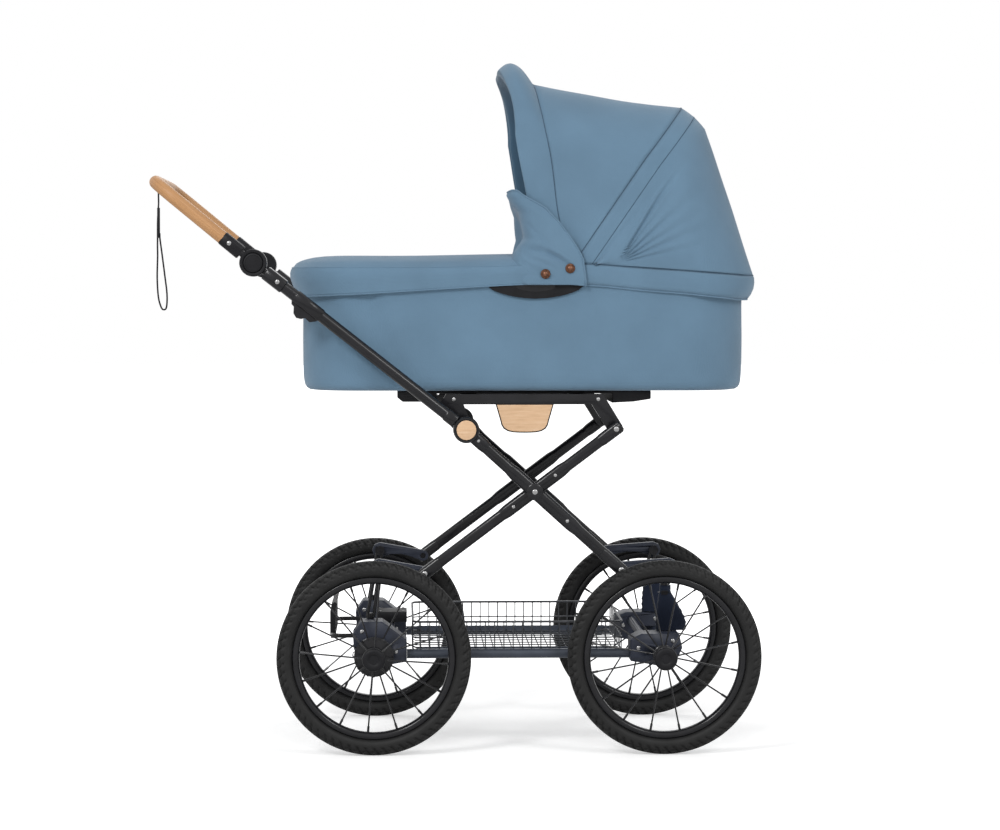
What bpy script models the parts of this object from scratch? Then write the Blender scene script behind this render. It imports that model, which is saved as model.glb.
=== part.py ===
"""A pram: a soft carrycot with a folding hood and an apron, on a scissor chassis
with four spoked wheels, a wire basket and a wooden push handle.

Metres, +Z up, +X is the way the pram rolls. "right" is the -Y side and "left" the +Y side.
"""

import math

import bmesh
import bpy
from mathutils import Matrix, Vector

SIDES = {"right": -1, "left": 1}
CLEARANCE = 0.0003
BORE_CLEARANCE = 0.0003

# Wheels
TYRE_RADIUS = 0.178
TYRE_SECTION = 0.031
TYRE_HALF_WIDTH = 0.0155
RIM_DEPTH = 0.011
RIM_HALF_WIDTH = 0.009
WHEEL_SEGMENTS = 36
SPOKE_COUNT = 16
SPOKE_RADIUS = 0.0012
WHEELBASE = 0.530
TRACK = 0.540
AXLE_RADIUS = 0.006
HUB_HALF_LENGTH = 0.022
FLANGE_RADIUS = 0.020
HUB_BARREL_RADIUS = 0.013
BRAKE_RING_RADIUS = 0.037
HUB_CAP_RADIUS = 0.0215
HUB_CAP_LENGTH = 0.015

# Lower frame. Heights are given from the axle, and places across from the hubs
AXLE_X = WHEELBASE / 2
HUB_GAP = 0.013
SIDE_GAP = 0.0005
BRACKET_THICKNESS = 0.070
BRACKET_INNER_Y = TRACK / 2 - HUB_HALF_LENGTH - HUB_GAP - BRACKET_THICKNESS
BRACKET_REACH = 0.060
BRACKET_END_X = AXLE_X - BRACKET_REACH
REAR_BRACKET_TOP = 0.062
FRONT_BRACKET_TOP = 0.038
SIDE_TUBE_RADIUS = 0.009
SIDE_TUBE_Y = BRACKET_INNER_Y + BRACKET_THICKNESS / 2
CROSS_TUBE_RADIUS = 0.008
CROSS_TUBE_X = AXLE_X - BRACKET_REACH / 2
CROSS_TUBE_Z = TYRE_RADIUS + 0.022
STRUT_RADIUS = 0.007
STRUT_FOOT_RADIUS = 0.0072
STRUT_Y = BRACKET_INNER_Y + 0.0105
STRUT_FOOT_X = AXLE_X + 0.007
STRUT_PIVOT_Z = TYRE_RADIUS + 0.159
COVER_WIDTH = 0.022
COVER_TOP_Z = TYRE_RADIUS + 0.122
REAR_PIVOT_X = 0.0084 - AXLE_X
FRONT_PIVOT_X = AXLE_X + 0.015
PIN_RADIUS = 0.005
LINK_THICKNESS = 0.014
LINK_Y = STRUT_Y + STRUT_RADIUS + SIDE_GAP + LINK_THICKNESS / 2
REAR_LINK_LENGTH = 0.0846
FRONT_LINK_LENGTH = 0.092

# Scissor legs
REAR_LEG_RADIUS = 0.0105
REAR_LEG_Y = LINK_Y + LINK_THICKNESS / 2 + SIDE_GAP + REAR_LEG_RADIUS
LEG_GAP = 0.0025
FRONT_LEG_RADIUS = 0.011
FRONT_LEG_Y = REAR_LEG_Y + REAR_LEG_RADIUS + LEG_GAP + FRONT_LEG_RADIUS
LEG_RISE = 0.265
REAR_LEG_FOOT = (REAR_PIVOT_X + REAR_LINK_LENGTH, STRUT_PIVOT_Z - 0.011)
FRONT_LEG_FOOT = (FRONT_PIVOT_X - FRONT_LINK_LENGTH, STRUT_PIVOT_Z - 0.003)
REAR_LEG_TOP = (0.180, REAR_LEG_FOOT[1] + LEG_RISE)
FOLD_AXIS = (-0.096, REAR_LEG_TOP[1])
LEG_END = 0.012
BOSS_RADIUS = 0.016
FOLD_DISC_RADIUS = 0.0248
FOLD_DISC_INNER_Y = FRONT_LEG_Y - 0.0115
FOLD_DISC_OUTER_Y = FRONT_LEG_Y + 0.0155
FOLD_CAP_RADIUS = 0.018
FOLD_CAP_THICKNESS = 0.003

# Seat rails
RAIL_GAP = 0.0015
RAIL_THICKNESS = 0.018
RAIL_Y = REAR_LEG_Y - REAR_LEG_RADIUS - RAIL_GAP - RAIL_THICKNESS / 2
RAIL_TOP_Z = REAR_LEG_TOP[1] + 0.064
RAIL_DEPTH = 0.019
PLATE_THICKNESS = 0.004

# Handle
HANDLE_TUBE_RADIUS = 0.0110
TILT_AXIS = (-0.4836, FOLD_AXIS[1] + 0.3046)
TILT_DISC_RADIUS = 0.025
TILT_DISC_INNER_Y = FRONT_LEG_Y - 0.0135
TILT_DISC_THICKNESS = 0.0130
COLLAR_RADIUS = 0.0132
COLLAR_REACH = 0.072
FOLD_CATCH = (
    (0.390, 0.004), (0.386, 0.016), (0.374, 0.028), (0.366, 0.030), (0.358, 0.022), (0.344, 0.022),
    (0.336, 0.004),
)
BUTTON_RADIUS = 0.018
BUTTON_THICKNESS = 0.008
BUTTON_TRAVEL = 0.0025
GRIP_RADIUS = 0.0125
GRIP_REACH = 0.245
GRIP_SLOPE = math.radians(38)
GRIP_CORNER = 0.055
STRAP_RADIUS = 0.0015
STRAP_Y = -0.12
STRAP_STEM = 0.0325
STRAP_SLEEVE = 0.055
STRAP_LOOP = (
    (-0.0020, -0.004), (-0.002, 0.035), (-0.003, 0.075), (-0.001, 0.110), (0.004, 0.129),
    (0.009, 0.134), (0.014, 0.129), (0.015, 0.105), (0.011, 0.070), (0.006, 0.030), (0.0020, -0.004),
)

# Carrycot
COT_REAR_X = -0.401
COT_FRONT_X = 0.427
COT_HALF_WIDTH = FRONT_LEG_Y - FRONT_LEG_RADIUS - 0.016
COT_CORNER = 0.110
COT_HEIGHT = 0.184
COT_BOTTOM_Z = RAIL_TOP_Z + 0.006
COT_TOP_Z = COT_BOTTOM_Z + COT_HEIGHT
COT_FLARE = 0.0045
COT_WALL = 0.008
COT_BASE_HALF_WIDTH = RAIL_Y - RAIL_THICKNESS / 2 - 0.008
FABRIC = 0.003
APRON_FRONT_X = 0.072
APRON_SKIRT_Z = COT_TOP_Z - 0.009
APRON_SHOULDER_Z = COT_TOP_Z + 0.040
APRON_TOP_Z = COT_TOP_Z + 0.060
CORNER_STEPS = 6
FLAP_LEAN = 0.010
FLAP_HALF_WIDTH = COT_HALF_WIDTH + 0.012
FLAP_PLAN = (
    (-0.035, 0.0, -0.0015, 0.125), (-0.022, 0.438, -0.0030, 0.125), (0.0, 0.760, -0.0085, 0.125),
    (0.025, 0.945, -0.012, 0.100), (0.060, 1.0, -0.012, 0.050), (0.096, 1.0, -0.012, 0.012),
)

# Hood
HOOD_PIVOT = (0.085, COT_TOP_Z + 0.027)
BOW_RADIUS = 0.003
FRONT_BOW_ANGLE = math.radians(98)
FRONT_BOW_REACH = 0.367
REAR_BOW_ANGLE = math.radians(53.4)
REAR_BOW_REACH = 0.397
SEAM_ANGLE = math.radians(44.9)
SEAM_REACH = 0.388
HOOD_RIM_REACH = COT_FRONT_X + 0.026 - HOOD_PIVOT[0]
HOOD_HALF_WIDTH = COT_HALF_WIDTH + 0.004
HOOD_CORNER = 0.120
VISOR_ANGLE = math.radians(103.5)
VISOR_HEM = math.radians(1.1)
SEAM_SLIT = math.radians(0.3)
EDGE_SLIT = math.radians(0.12)
VISOR_REACH = 0.412
HOOD_SKIRT_Z = COT_TOP_Z - 0.007
ARCH_STEPS = 6
FRONT_BOW_INSET = 0.0065
REAR_BOW_INSET = 0.0140
BOW_DROP = 0.0064

# Basket
BASKET_HALF_LENGTH = BRACKET_END_X - 0.010
BASKET_TOP_Z = TYRE_RADIUS + 0.058
BASKET_BOTTOM_Z = TYRE_RADIUS - 0.003
BASKET_WALL = 0.002

AXLE_Z = TYRE_RADIUS * math.cos(math.pi / WHEEL_SEGMENTS)
RIM_OUTER = TYRE_RADIUS - TYRE_SECTION - 0.0005
RIM_INNER = RIM_OUTER - RIM_DEPTH
BRACKET_Y = BRACKET_INNER_Y + BRACKET_THICKNESS / 2
COT_RIM_HALF_WIDTH = COT_HALF_WIDTH + COT_FLARE
SKIRT_HALF_WIDTH = COT_RIM_HALF_WIDTH + CLEARANCE + FABRIC

for old in list(bpy.data.objects):
    bpy.data.objects.remove(old, do_unlink=True)

pram = bpy.data.collections.new("pram")
helpers = bpy.data.collections.new("cutters")
bpy.context.scene.collection.children.link(pram)
bpy.context.scene.collection.children.link(helpers)


def material(name, colour, roughness, metallic=0.0):
    made = bpy.data.materials.new(name)
    made.use_nodes = True
    shader = made.node_tree.nodes["Principled BSDF"]
    shader.inputs["Base Color"].default_value = (*colour, 1.0)
    shader.inputs["Roughness"].default_value = roughness
    shader.inputs["Metallic"].default_value = metallic
    return made


RUBBER = material("tyre rubber", (0.03, 0.03, 0.03), 0.8)
BLACK_METAL = material("black metal", (0.04, 0.04, 0.045), 0.4, 0.6)
BLACK_PLASTIC = material("black plastic", (0.03, 0.03, 0.032), 0.5)
GREY_PLASTIC = material("grey plastic", (0.06, 0.06, 0.08), 0.5)
WOOD = material("pale wood", (0.62, 0.40, 0.22), 0.5)
OAK = material("handle wood", (0.50, 0.28, 0.12), 0.55)
BLUE_FABRIC = material("blue fabric", (0.12, 0.22, 0.32), 0.9)
NAVY_FABRIC = material("navy fabric", (0.01, 0.015, 0.03), 0.85)
PADDING = material("padding", (0.55, 0.55, 0.53), 0.9)


def side_view(point, y):
    """The 3-D point of an (x, z) point seen from the side."""
    return Vector((point[0], y, point[1]))


def between(start, end, share):
    return tuple(a + (b - a) * share for a, b in zip(start, end))


def along(start, end, distance):
    """The (x, z) point this distance from start towards end."""
    return between(start, end, distance / math.dist(start, end))


def mesh_object(name, mesh):
    made = bpy.data.objects.new(name, mesh)
    pram.objects.link(made)
    return made


def rod(start, end, radius, sides=12, name="rod"):
    start, end = Vector(start), Vector(end)
    shape = bmesh.new()
    bmesh.ops.create_cone(
        shape, cap_ends=True, segments=sides, radius1=radius, radius2=radius, depth=(end - start).length
    )
    mesh = bpy.data.meshes.new(name)
    shape.to_mesh(mesh)
    shape.free()
    made = mesh_object(name, mesh)
    made.rotation_euler = (end - start).to_track_quat("Z", "Y").to_euler()
    made.location = (start + end) / 2
    return made


def cross_rod(point, y_from, y_to, radius, sides=16, name="rod"):
    """A rod across the pram at an (x, z) point."""
    return rod(side_view(point, y_from), side_view(point, y_to), radius, sides, name)


def box(low, high, name="box"):
    shape = bmesh.new()
    bmesh.ops.create_cube(shape, size=1.0)
    size = Vector(high) - Vector(low)
    bmesh.ops.scale(shape, vec=size, verts=shape.verts)
    mesh = bpy.data.meshes.new(name)
    shape.to_mesh(mesh)
    shape.free()
    made = mesh_object(name, mesh)
    made.location = (Vector(low) + Vector(high)) / 2
    return made


def turned(name, chains, segments=16, twist=0.0, side=1, at=(0, 0, 0)):
    """Profiles of (radius, height) turned about a crosswise axis. Height points outward on the given side."""
    mesh = bpy.data.meshes.new(name)
    points, edges = [], []
    for chain, is_closed in chains:
        first = len(points)
        points += [(radius, 0, height) for radius, height in chain]
        edges += [(first + i, first + i + 1) for i in range(len(chain) - 1)]
        if is_closed:
            edges.append((first + len(chain) - 1, first))
    mesh.from_pydata(points, edges, [])
    made = mesh_object(name, mesh)
    screw = made.modifiers.new("turn", "SCREW")
    screw.steps = screw.render_steps = segments
    screw.use_merge_vertices = True
    screw.merge_threshold = 0.00001
    outward = Matrix.Rotation(math.radians(-90 * side), 4, "X")
    made.matrix_world = Matrix.Translation(at) @ outward @ Matrix.Rotation(twist, 4, "Z")
    return made


def plate(outline, holes, thickness, y, name="plate"):
    """A flat plate from an (x, z) outline, its middle at y. Each hole is (x, z, radius)."""
    curve = bpy.data.curves.new(name, "CURVE")
    curve.dimensions = "2D"
    curve.fill_mode = "BOTH"
    curve.extrude = thickness / 2
    loops = [outline]
    for x, z, radius in holes:
        turns = [math.tau * i / 16 for i in range(16)]
        loops.append([(x + radius * math.cos(t), z + radius * math.sin(t)) for t in turns])
    for loop in loops:
        spline = curve.splines.new("POLY")
        spline.points.add(len(loop) - 1)
        for point, (x, z) in zip(spline.points, loop):
            point.co = (x, z, 0, 1)
        spline.use_cyclic_u = True
    made = mesh_object(name, curve)
    made.rotation_euler = (math.radians(90), 0, 0)
    made.location = (0, y, 0)
    return made


def tube(points, radius, resolution=2, name="tube"):
    curve = bpy.data.curves.new(name, "CURVE")
    curve.dimensions = "3D"
    curve.bevel_depth = radius
    curve.bevel_resolution = resolution
    curve.use_fill_caps = True
    spline = curve.splines.new("POLY")
    spline.points.add(len(points) - 1)
    for point, place in zip(spline.points, points):
        point.co = (*place, 1)
    return mesh_object(name, curve)


def as_mesh(source):
    """The evaluated shape as a plain mesh object, its loose caps welded. The source is removed."""
    bpy.context.view_layer.update()
    graph = bpy.context.evaluated_depsgraph_get()
    mesh = bpy.data.meshes.new_from_object(source.evaluated_get(graph))
    shape = bmesh.new()
    shape.from_mesh(mesh)
    bmesh.ops.remove_doubles(shape, verts=shape.verts, dist=0.00001)
    shape.transform(source.matrix_world)
    shape.to_mesh(mesh)
    shape.free()
    bpy.data.objects.remove(source, do_unlink=True)
    return mesh_object("shape", mesh)


def loose(sources):
    """Several separate solids in one helper, to be joined to another shape together."""
    shape = bmesh.new()
    for source in sources:
        solid = as_mesh(source)
        shape.from_mesh(solid.data)
        bpy.data.objects.remove(solid, do_unlink=True)
    mesh = bpy.data.meshes.new("loose")
    shape.to_mesh(mesh)
    shape.free()
    return mesh_object("loose", mesh)


def fused(sources):
    """One solid: the first source with the others joined to it."""
    base = as_mesh(sources[0])
    for source in sources[1:]:
        other = as_mesh(source)
        pram.objects.unlink(other)
        helpers.objects.link(other)
        other.hide_render = True
        other.display_type = "WIRE"
        join = base.modifiers.new("join", "BOOLEAN")
        join.operation = "UNION"
        join.object = other
        other.parent = base
    return base


def sheet(rows, inside, name="sheet"):
    """Fabric through rows of points, its outer face on the points and away from the inside point."""
    shape = bmesh.new()
    made_rows = [[shape.verts.new(point) for point in row] for row in rows]
    for low, high in zip(made_rows, made_rows[1:]):
        for i in range(len(low) - 1):
            shape.faces.new((low[i], low[i + 1], high[i + 1], high[i]))
    shape.normal_update()
    facing = sum(face.normal.dot(face.calc_center_median() - Vector(inside)) for face in shape.faces)
    if facing < 0:
        bmesh.ops.reverse_faces(shape, faces=shape.faces)
    made = from_bmesh(shape, name)
    thicken(made, FABRIC)
    return made


def from_bmesh(shape, name):
    mesh = bpy.data.meshes.new(name)
    shape.to_mesh(mesh)
    shape.free()
    return mesh_object(name, mesh)


def thicken(shape, thickness):
    """Walls this thick, inward from an open surface."""
    solidify = shape.modifiers.new("thickness", "SOLIDIFY")
    solidify.thickness = thickness
    solidify.offset = -1
    solidify.use_even_offset = True


origin = bpy.data.objects.new("pram_origin", None)
pram.objects.link(origin)
bodies = {}


def body(name, point=(0, 0), y=0.0):
    """An empty on a moving group's axis. Its pieces are parented to it."""
    empty = bpy.data.objects.new(f"{name}_axis", None)
    pram.objects.link(empty)
    empty.location = side_view(point, y)
    empty.parent = origin
    bodies[name] = empty
    return empty


def add(name, body_name, shape, look):
    """Names a finished shape, gives it its material and puts it in its moving group."""
    shape.name = name
    shape.data.name = name
    shape.data.materials.clear()
    shape.data.materials.append(look)
    bpy.context.view_layer.update()
    placed = shape.matrix_world.copy()
    shape.parent = bodies[body_name]
    shape.matrix_parent_inverse = bodies[body_name].matrix_world.inverted()
    shape.matrix_world = placed
    if shape.type == "MESH" and shape.data.polygons:
        shape.data.shade_smooth()
        shape.data.set_sharp_from_angle(angle=math.radians(35))
    return shape


def make_wheel(name, x, side, has_brake_ring):
    body(name, (x, AXLE_Z), side * TRACK / 2)
    at = (x, side * TRACK / 2, AXLE_Z)
    twist = math.pi / WHEEL_SEGMENTS
    middle = TYRE_RADIUS - TYRE_SECTION / 2
    inner = TYRE_RADIUS - TYRE_SECTION
    w = TYRE_HALF_WIDTH
    tread = [(TYRE_RADIUS - 0.0035, 0.68 * w), (TYRE_RADIUS, 0.26 * w)]
    section = [(middle, w), *tread, *[(r, -z) for r, z in reversed(tread)], (middle, -w)]
    section += [(inner, -w / 2), (inner, w / 2)]
    add(f"tyre_{name}", name, turned("tyre", [(section, True)], WHEEL_SEGMENTS, twist, side, at), RUBBER)
    rim = [(RIM_OUTER, RIM_HALF_WIDTH), (RIM_OUTER, -RIM_HALF_WIDTH)]
    rim += [(RIM_INNER + 0.004, -RIM_HALF_WIDTH), (RIM_INNER, -RIM_HALF_WIDTH / 2)]
    rim += [(RIM_INNER, RIM_HALF_WIDTH / 2), (RIM_INNER + 0.004, RIM_HALF_WIDTH)]
    add(f"rim_{name}", name, turned("rim", [(rim, True)], WHEEL_SEGMENTS, twist, side, at), BLACK_METAL)
    flange = BRAKE_RING_RADIUS if has_brake_ring else FLANGE_RADIUS
    ring_depth = 0.008 if has_brake_ring else 0.004
    low, high = -HUB_HALF_LENGTH, HUB_HALF_LENGTH
    cap = high + HUB_CAP_LENGTH
    bore = AXLE_RADIUS + BORE_CLEARANCE
    hub = [
        (0, cap), (0.8 * HUB_CAP_RADIUS, cap), (HUB_CAP_RADIUS, cap - 0.003), (HUB_CAP_RADIUS, high),
        (FLANGE_RADIUS, high), (FLANGE_RADIUS, high - 0.004), (HUB_BARREL_RADIUS, high - 0.006),
        (HUB_BARREL_RADIUS, low + ring_depth), (flange, low + ring_depth), (flange, low), (bore, low),
        (bore, high + CLEARANCE), (0, high + CLEARANCE),
    ]
    shell = turned("hub", [(hub, False)], 16, 0, side, at)
    add(f"hub_{name}", name, fused([shell, loose(make_spokes(x, side, flange))]), BLACK_METAL)


def make_spokes(x, side, inner_flange):
    """Spokes from the hub's two flanges in turn, each ending just short of the rim."""
    spokes = []
    for i in range(SPOKE_COUNT):
        turn = math.tau * (i + 0.5) / SPOKE_COUNT
        is_outer = i % 2 == 0
        start_radius = (FLANGE_RADIUS if is_outer else inner_flange) - 0.003
        start_y = (HUB_HALF_LENGTH - 0.002) * (1 if is_outer else -1)
        end_radius = (RIM_INNER - CLEARANCE) * math.cos(math.pi / WHEEL_SEGMENTS) - SPOKE_RADIUS / 2
        ends = []
        for radius, y in ((start_radius, start_y), (end_radius, start_y * 0.1)):
            across = side * (TRACK / 2 + y)
            ends.append((x + radius * math.cos(turn), across, AXLE_Z + radius * math.sin(turn)))
        spokes.append(rod(*ends, SPOKE_RADIUS, 4))
    return spokes


BRACKET_LOWER_EDGE = ((-0.025, -0.018), (0.0, -0.023), (0.025, -0.013))
REAR_BRACKET = (
    (0.039, 0.040), (0.024, REAR_BRACKET_TOP), (-0.015, REAR_BRACKET_TOP), (-BRACKET_REACH, 0.028),
    (-BRACKET_REACH, -0.012), *BRACKET_LOWER_EDGE, (0.037, 0.012),
)
FRONT_BRACKET = (
    (0.030, FRONT_BRACKET_TOP), (-0.040, FRONT_BRACKET_TOP), (-BRACKET_REACH, 0.028),
    (-BRACKET_REACH, -0.012), *BRACKET_LOWER_EDGE, (0.036, 0.012),
)
STRUT_FOOT_Z = {
    -1: TYRE_RADIUS + REAR_BRACKET_TOP + CLEARANCE, 1: TYRE_RADIUS + FRONT_BRACKET_TOP + CLEARANCE,
}


def make_lower_frame():
    axle_end = TRACK / 2 + HUB_HALF_LENGTH
    for end, sign, shape in (("rear", -1, REAR_BRACKET), ("front", 1, FRONT_BRACKET)):
        axle = cross_rod((sign * AXLE_X, AXLE_Z), -axle_end, axle_end, AXLE_RADIUS, 12)
        add(f"{end}_axle", "undercarriage", axle, BLACK_METAL)
        hole = (sign * AXLE_X, AXLE_Z, AXLE_RADIUS + BORE_CLEARANCE)
        outline = [(sign * (AXLE_X + outward), TYRE_RADIUS + up) for outward, up in shape]
        plates = [plate(outline, [hole], BRACKET_THICKNESS, side * BRACKET_Y) for side in SIDES.values()]
        middle = (sign * CROSS_TUBE_X, CROSS_TUBE_Z)
        cross = cross_rod(middle, -BRACKET_Y, BRACKET_Y, CROSS_TUBE_RADIUS, 10)
        add(f"{end}_axle_carrier", "undercarriage", fused([cross, *plates]), GREY_PLASTIC)
    reach = BRACKET_END_X - CLEARANCE
    for side_name, side in SIDES.items():
        y = side * SIDE_TUBE_Y
        shape = rod((-reach, y, AXLE_Z), (reach, y, AXLE_Z), SIDE_TUBE_RADIUS, 10)
        add(f"side_tube_{side_name}", "undercarriage", shape, BLACK_METAL)


def make_struts():
    pin_outer = LINK_Y + LINK_THICKNESS / 2
    for end, sign, pivot_x in (("rear", -1, REAR_PIVOT_X), ("front", 1, FRONT_PIVOT_X)):
        for side_name, side in SIDES.items():
            y = side * STRUT_Y
            foot_z = STRUT_FOOT_Z[sign] if sign < 0 else COVER_TOP_Z + CLEARANCE
            foot_x = sign * STRUT_FOOT_X
            post = rod((foot_x, y, foot_z + 0.004), (pivot_x, y, STRUT_PIVOT_Z), STRUT_RADIUS, 12)
            foot = rod((foot_x, y, foot_z), (foot_x, y, foot_z + 0.010), STRUT_FOOT_RADIUS, 12)
            pin = cross_rod((pivot_x, STRUT_PIVOT_Z), y, side * pin_outer, PIN_RADIUS, 12)
            add(f"{end}_strut_{side_name}", "undercarriage", fused([post, foot, pin]), BLACK_METAL)
            if sign > 0:
                cover = make_spring_cover(foot_x, side)
                add(f"spring_cover_{side_name}", "undercarriage", cover, NAVY_FABRIC)


def make_spring_cover(x, side):
    """A tapering sleeve round the foot of a front strut."""
    low_z = STRUT_FOOT_Z[1]
    outline = [
        (x - 0.020, low_z), (x + 0.014, low_z), (x + 0.017, low_z + 0.030),
        (x + 0.010, COVER_TOP_Z), (x - 0.008, COVER_TOP_Z), (x - 0.022, low_z + 0.015),
    ]
    outer = STRUT_Y + STRUT_FOOT_RADIUS
    return plate(outline, [], COVER_WIDTH, side * (outer - COVER_WIDTH / 2))


def make_basket():
    half_width = SIDE_TUBE_Y - SIDE_TUBE_RADIUS - CLEARANCE
    low, high = BASKET_BOTTOM_Z, BASKET_TOP_Z
    shape = box((-BASKET_HALF_LENGTH, -half_width, low), (BASKET_HALF_LENGTH, half_width, high))
    open_mesh = bmesh.new()
    open_mesh.from_mesh(shape.data)
    top = [face for face in open_mesh.faces if face.normal.z > 0.5]
    bmesh.ops.delete(open_mesh, geom=top, context="FACES_ONLY")
    open_mesh.to_mesh(shape.data)
    open_mesh.free()
    thicken(shape, BASKET_WALL)
    add("basket", "undercarriage", shape, BLACK_METAL)


BRAKE_AXIS = (-AXLE_X - 0.025, TYRE_RADIUS + 0.028)
BRAKE_BAR_X = BRAKE_AXIS[0] - 0.052
BRAKE_HALF_WIDTH = BRACKET_INNER_Y - 0.010
PEDAL_HALF_WIDTH = BRAKE_HALF_WIDTH - 0.030


def make_brake():
    """A foot pedal on a rod between the rear brackets, and the lock's housing on the cross tube."""
    body("brake_pedal", BRAKE_AXIS)
    reach = BRACKET_INNER_Y - CLEARANCE
    x, z = BRAKE_AXIS
    y, corner = BRAKE_HALF_WIDTH, 0.012
    bar = [
        (x, -y, z), (BRAKE_BAR_X + corner, -y, z), (BRAKE_BAR_X, -y + corner, z),
        (BRAKE_BAR_X, y - corner, z), (BRAKE_BAR_X + corner, y, z), (x, y, z),
    ]
    wide = PEDAL_HALF_WIDTH
    pad = box((BRAKE_BAR_X - 0.004, -wide, z - 0.008), (BRAKE_BAR_X + 0.004, wide, z + 0.024))
    pedal = fused([cross_rod(BRAKE_AXIS, -reach, reach, PIN_RADIUS, 10), tube(bar, 0.0042), pad])
    add("brake_pedal", "brake_pedal", pedal, BLACK_METAL)
    low = CROSS_TUBE_Z + CROSS_TUBE_RADIUS + CLEARANCE
    middle = -CROSS_TUBE_X
    housing = box((middle - 0.027, 0.060, low), (middle + 0.031, 0.140, low + 0.020))
    add("brake_box", "undercarriage", housing, BLACK_PLASTIC)


def link_outline(pivot, foot, arch):
    """A bar between two round ends, hollowed below by an arch."""
    sign = 1 if foot[0] > pivot[0] else -1
    top = 0.015
    points = []
    for i in range(5):
        turn = math.radians(90 + 180 * i / 4)
        points.append((pivot[0] + sign * top * math.cos(turn), pivot[1] + top * math.sin(turn)))
    for i in range(1, 4):
        x, z = between(pivot, foot, i / 4)
        points.append((x, z - 0.012 + arch * math.sin(math.pi * i / 4)))
    for i in range(5):
        turn = math.radians(-90 + 180 * i / 4)
        points.append((foot[0] + sign * 0.011 * math.cos(turn), foot[1] + 0.011 * math.sin(turn)))
    return points


def make_links():
    for name, x, foot in (
        ("rear_links", REAR_PIVOT_X, REAR_LEG_FOOT),
        ("front_links", FRONT_PIVOT_X, FRONT_LEG_FOOT),
    ):
        pivot = (x, STRUT_PIVOT_Z)
        body(name, pivot)
        hole = PIN_RADIUS + BORE_CLEARANCE
        holes = [(*pivot, hole), (*foot, hole)] if name == "rear_links" else [(*pivot, hole)]
        outline = link_outline(pivot, foot, 0.010)
        for side_name, side in SIDES.items():
            shape = plate(outline, holes, LINK_THICKNESS, side * LINK_Y)
            add(f"{name[:-1]}_{side_name}", name, shape, GREY_PLASTIC)


def crossing():
    """The (x, z) point where the two legs cross."""
    (ax, az), (bx, bz) = REAR_LEG_FOOT, REAR_LEG_TOP
    (cx, cz), (dx, dz) = FRONT_LEG_FOOT, FOLD_AXIS
    area = (bx - ax) * (dz - cz) - (bz - az) * (dx - cx)
    share = ((cx - ax) * (dz - cz) - (cz - az) * (dx - cx)) / area
    return between(REAR_LEG_FOOT, REAR_LEG_TOP, share)


def make_legs():
    cross = crossing()
    body("rear_legs", REAR_LEG_FOOT)
    body("front_legs", cross)
    link_inner = LINK_Y - LINK_THICKNESS / 2
    rail_inner = RAIL_Y - RAIL_THICKNESS / 2
    frame = [cross_rod(cross, -REAR_LEG_Y, REAR_LEG_Y, CROSS_TUBE_RADIUS, 10)]
    foot = along(REAR_LEG_FOOT, REAR_LEG_TOP, -LEG_END)
    top = along(REAR_LEG_TOP, REAR_LEG_FOOT, -LEG_END)
    for side in SIDES.values():
        y = side * REAR_LEG_Y
        frame.append(rod(side_view(foot, y), side_view(top, y), REAR_LEG_RADIUS, 12))
        frame.append(cross_rod(REAR_LEG_FOOT, side * link_inner, y, PIN_RADIUS, 12))
        frame.append(cross_rod(REAR_LEG_TOP, side * rail_inner, y, PIN_RADIUS, 12))
    add("rear_leg_frame", "rear_legs", fused(frame), BLACK_METAL)
    foot = along(FRONT_LEG_FOOT, FOLD_AXIS, -LEG_END)
    link_outer = LINK_Y + LINK_THICKNESS / 2 + CLEARANCE
    rail_outer = RAIL_Y + RAIL_THICKNESS / 2 + CLEARANCE
    for side_name, side in SIDES.items():
        y = side * FRONT_LEG_Y
        seat = side * (REAR_LEG_Y + REAR_LEG_RADIUS + CLEARANCE)
        leg = [
            rod(side_view(foot, y), side_view(FOLD_AXIS, y), FRONT_LEG_RADIUS, 12),
            cross_rod(FRONT_LEG_FOOT, side * link_outer, y, PIN_RADIUS, 12),
            cross_rod(cross, seat, side * (FRONT_LEG_Y + 0.012), BOSS_RADIUS, 16),
            cross_rod(FOLD_AXIS, side * FOLD_DISC_INNER_Y, side * FOLD_DISC_OUTER_Y, FOLD_DISC_RADIUS, 20),
            cross_rod(FOLD_AXIS, side * rail_outer, y, PIN_RADIUS, 12),
        ]
        add(f"front_leg_{side_name}", "front_legs", fused(leg), BLACK_METAL)
        low = side * (FOLD_DISC_OUTER_Y + CLEARANCE)
        high = side * (FOLD_DISC_OUTER_Y + CLEARANCE + FOLD_CAP_THICKNESS)
        add(f"fold_cap_{side_name}", "front_legs", cross_rod(FOLD_AXIS, low, high, FOLD_CAP_RADIUS, 20), WOOD)


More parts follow.
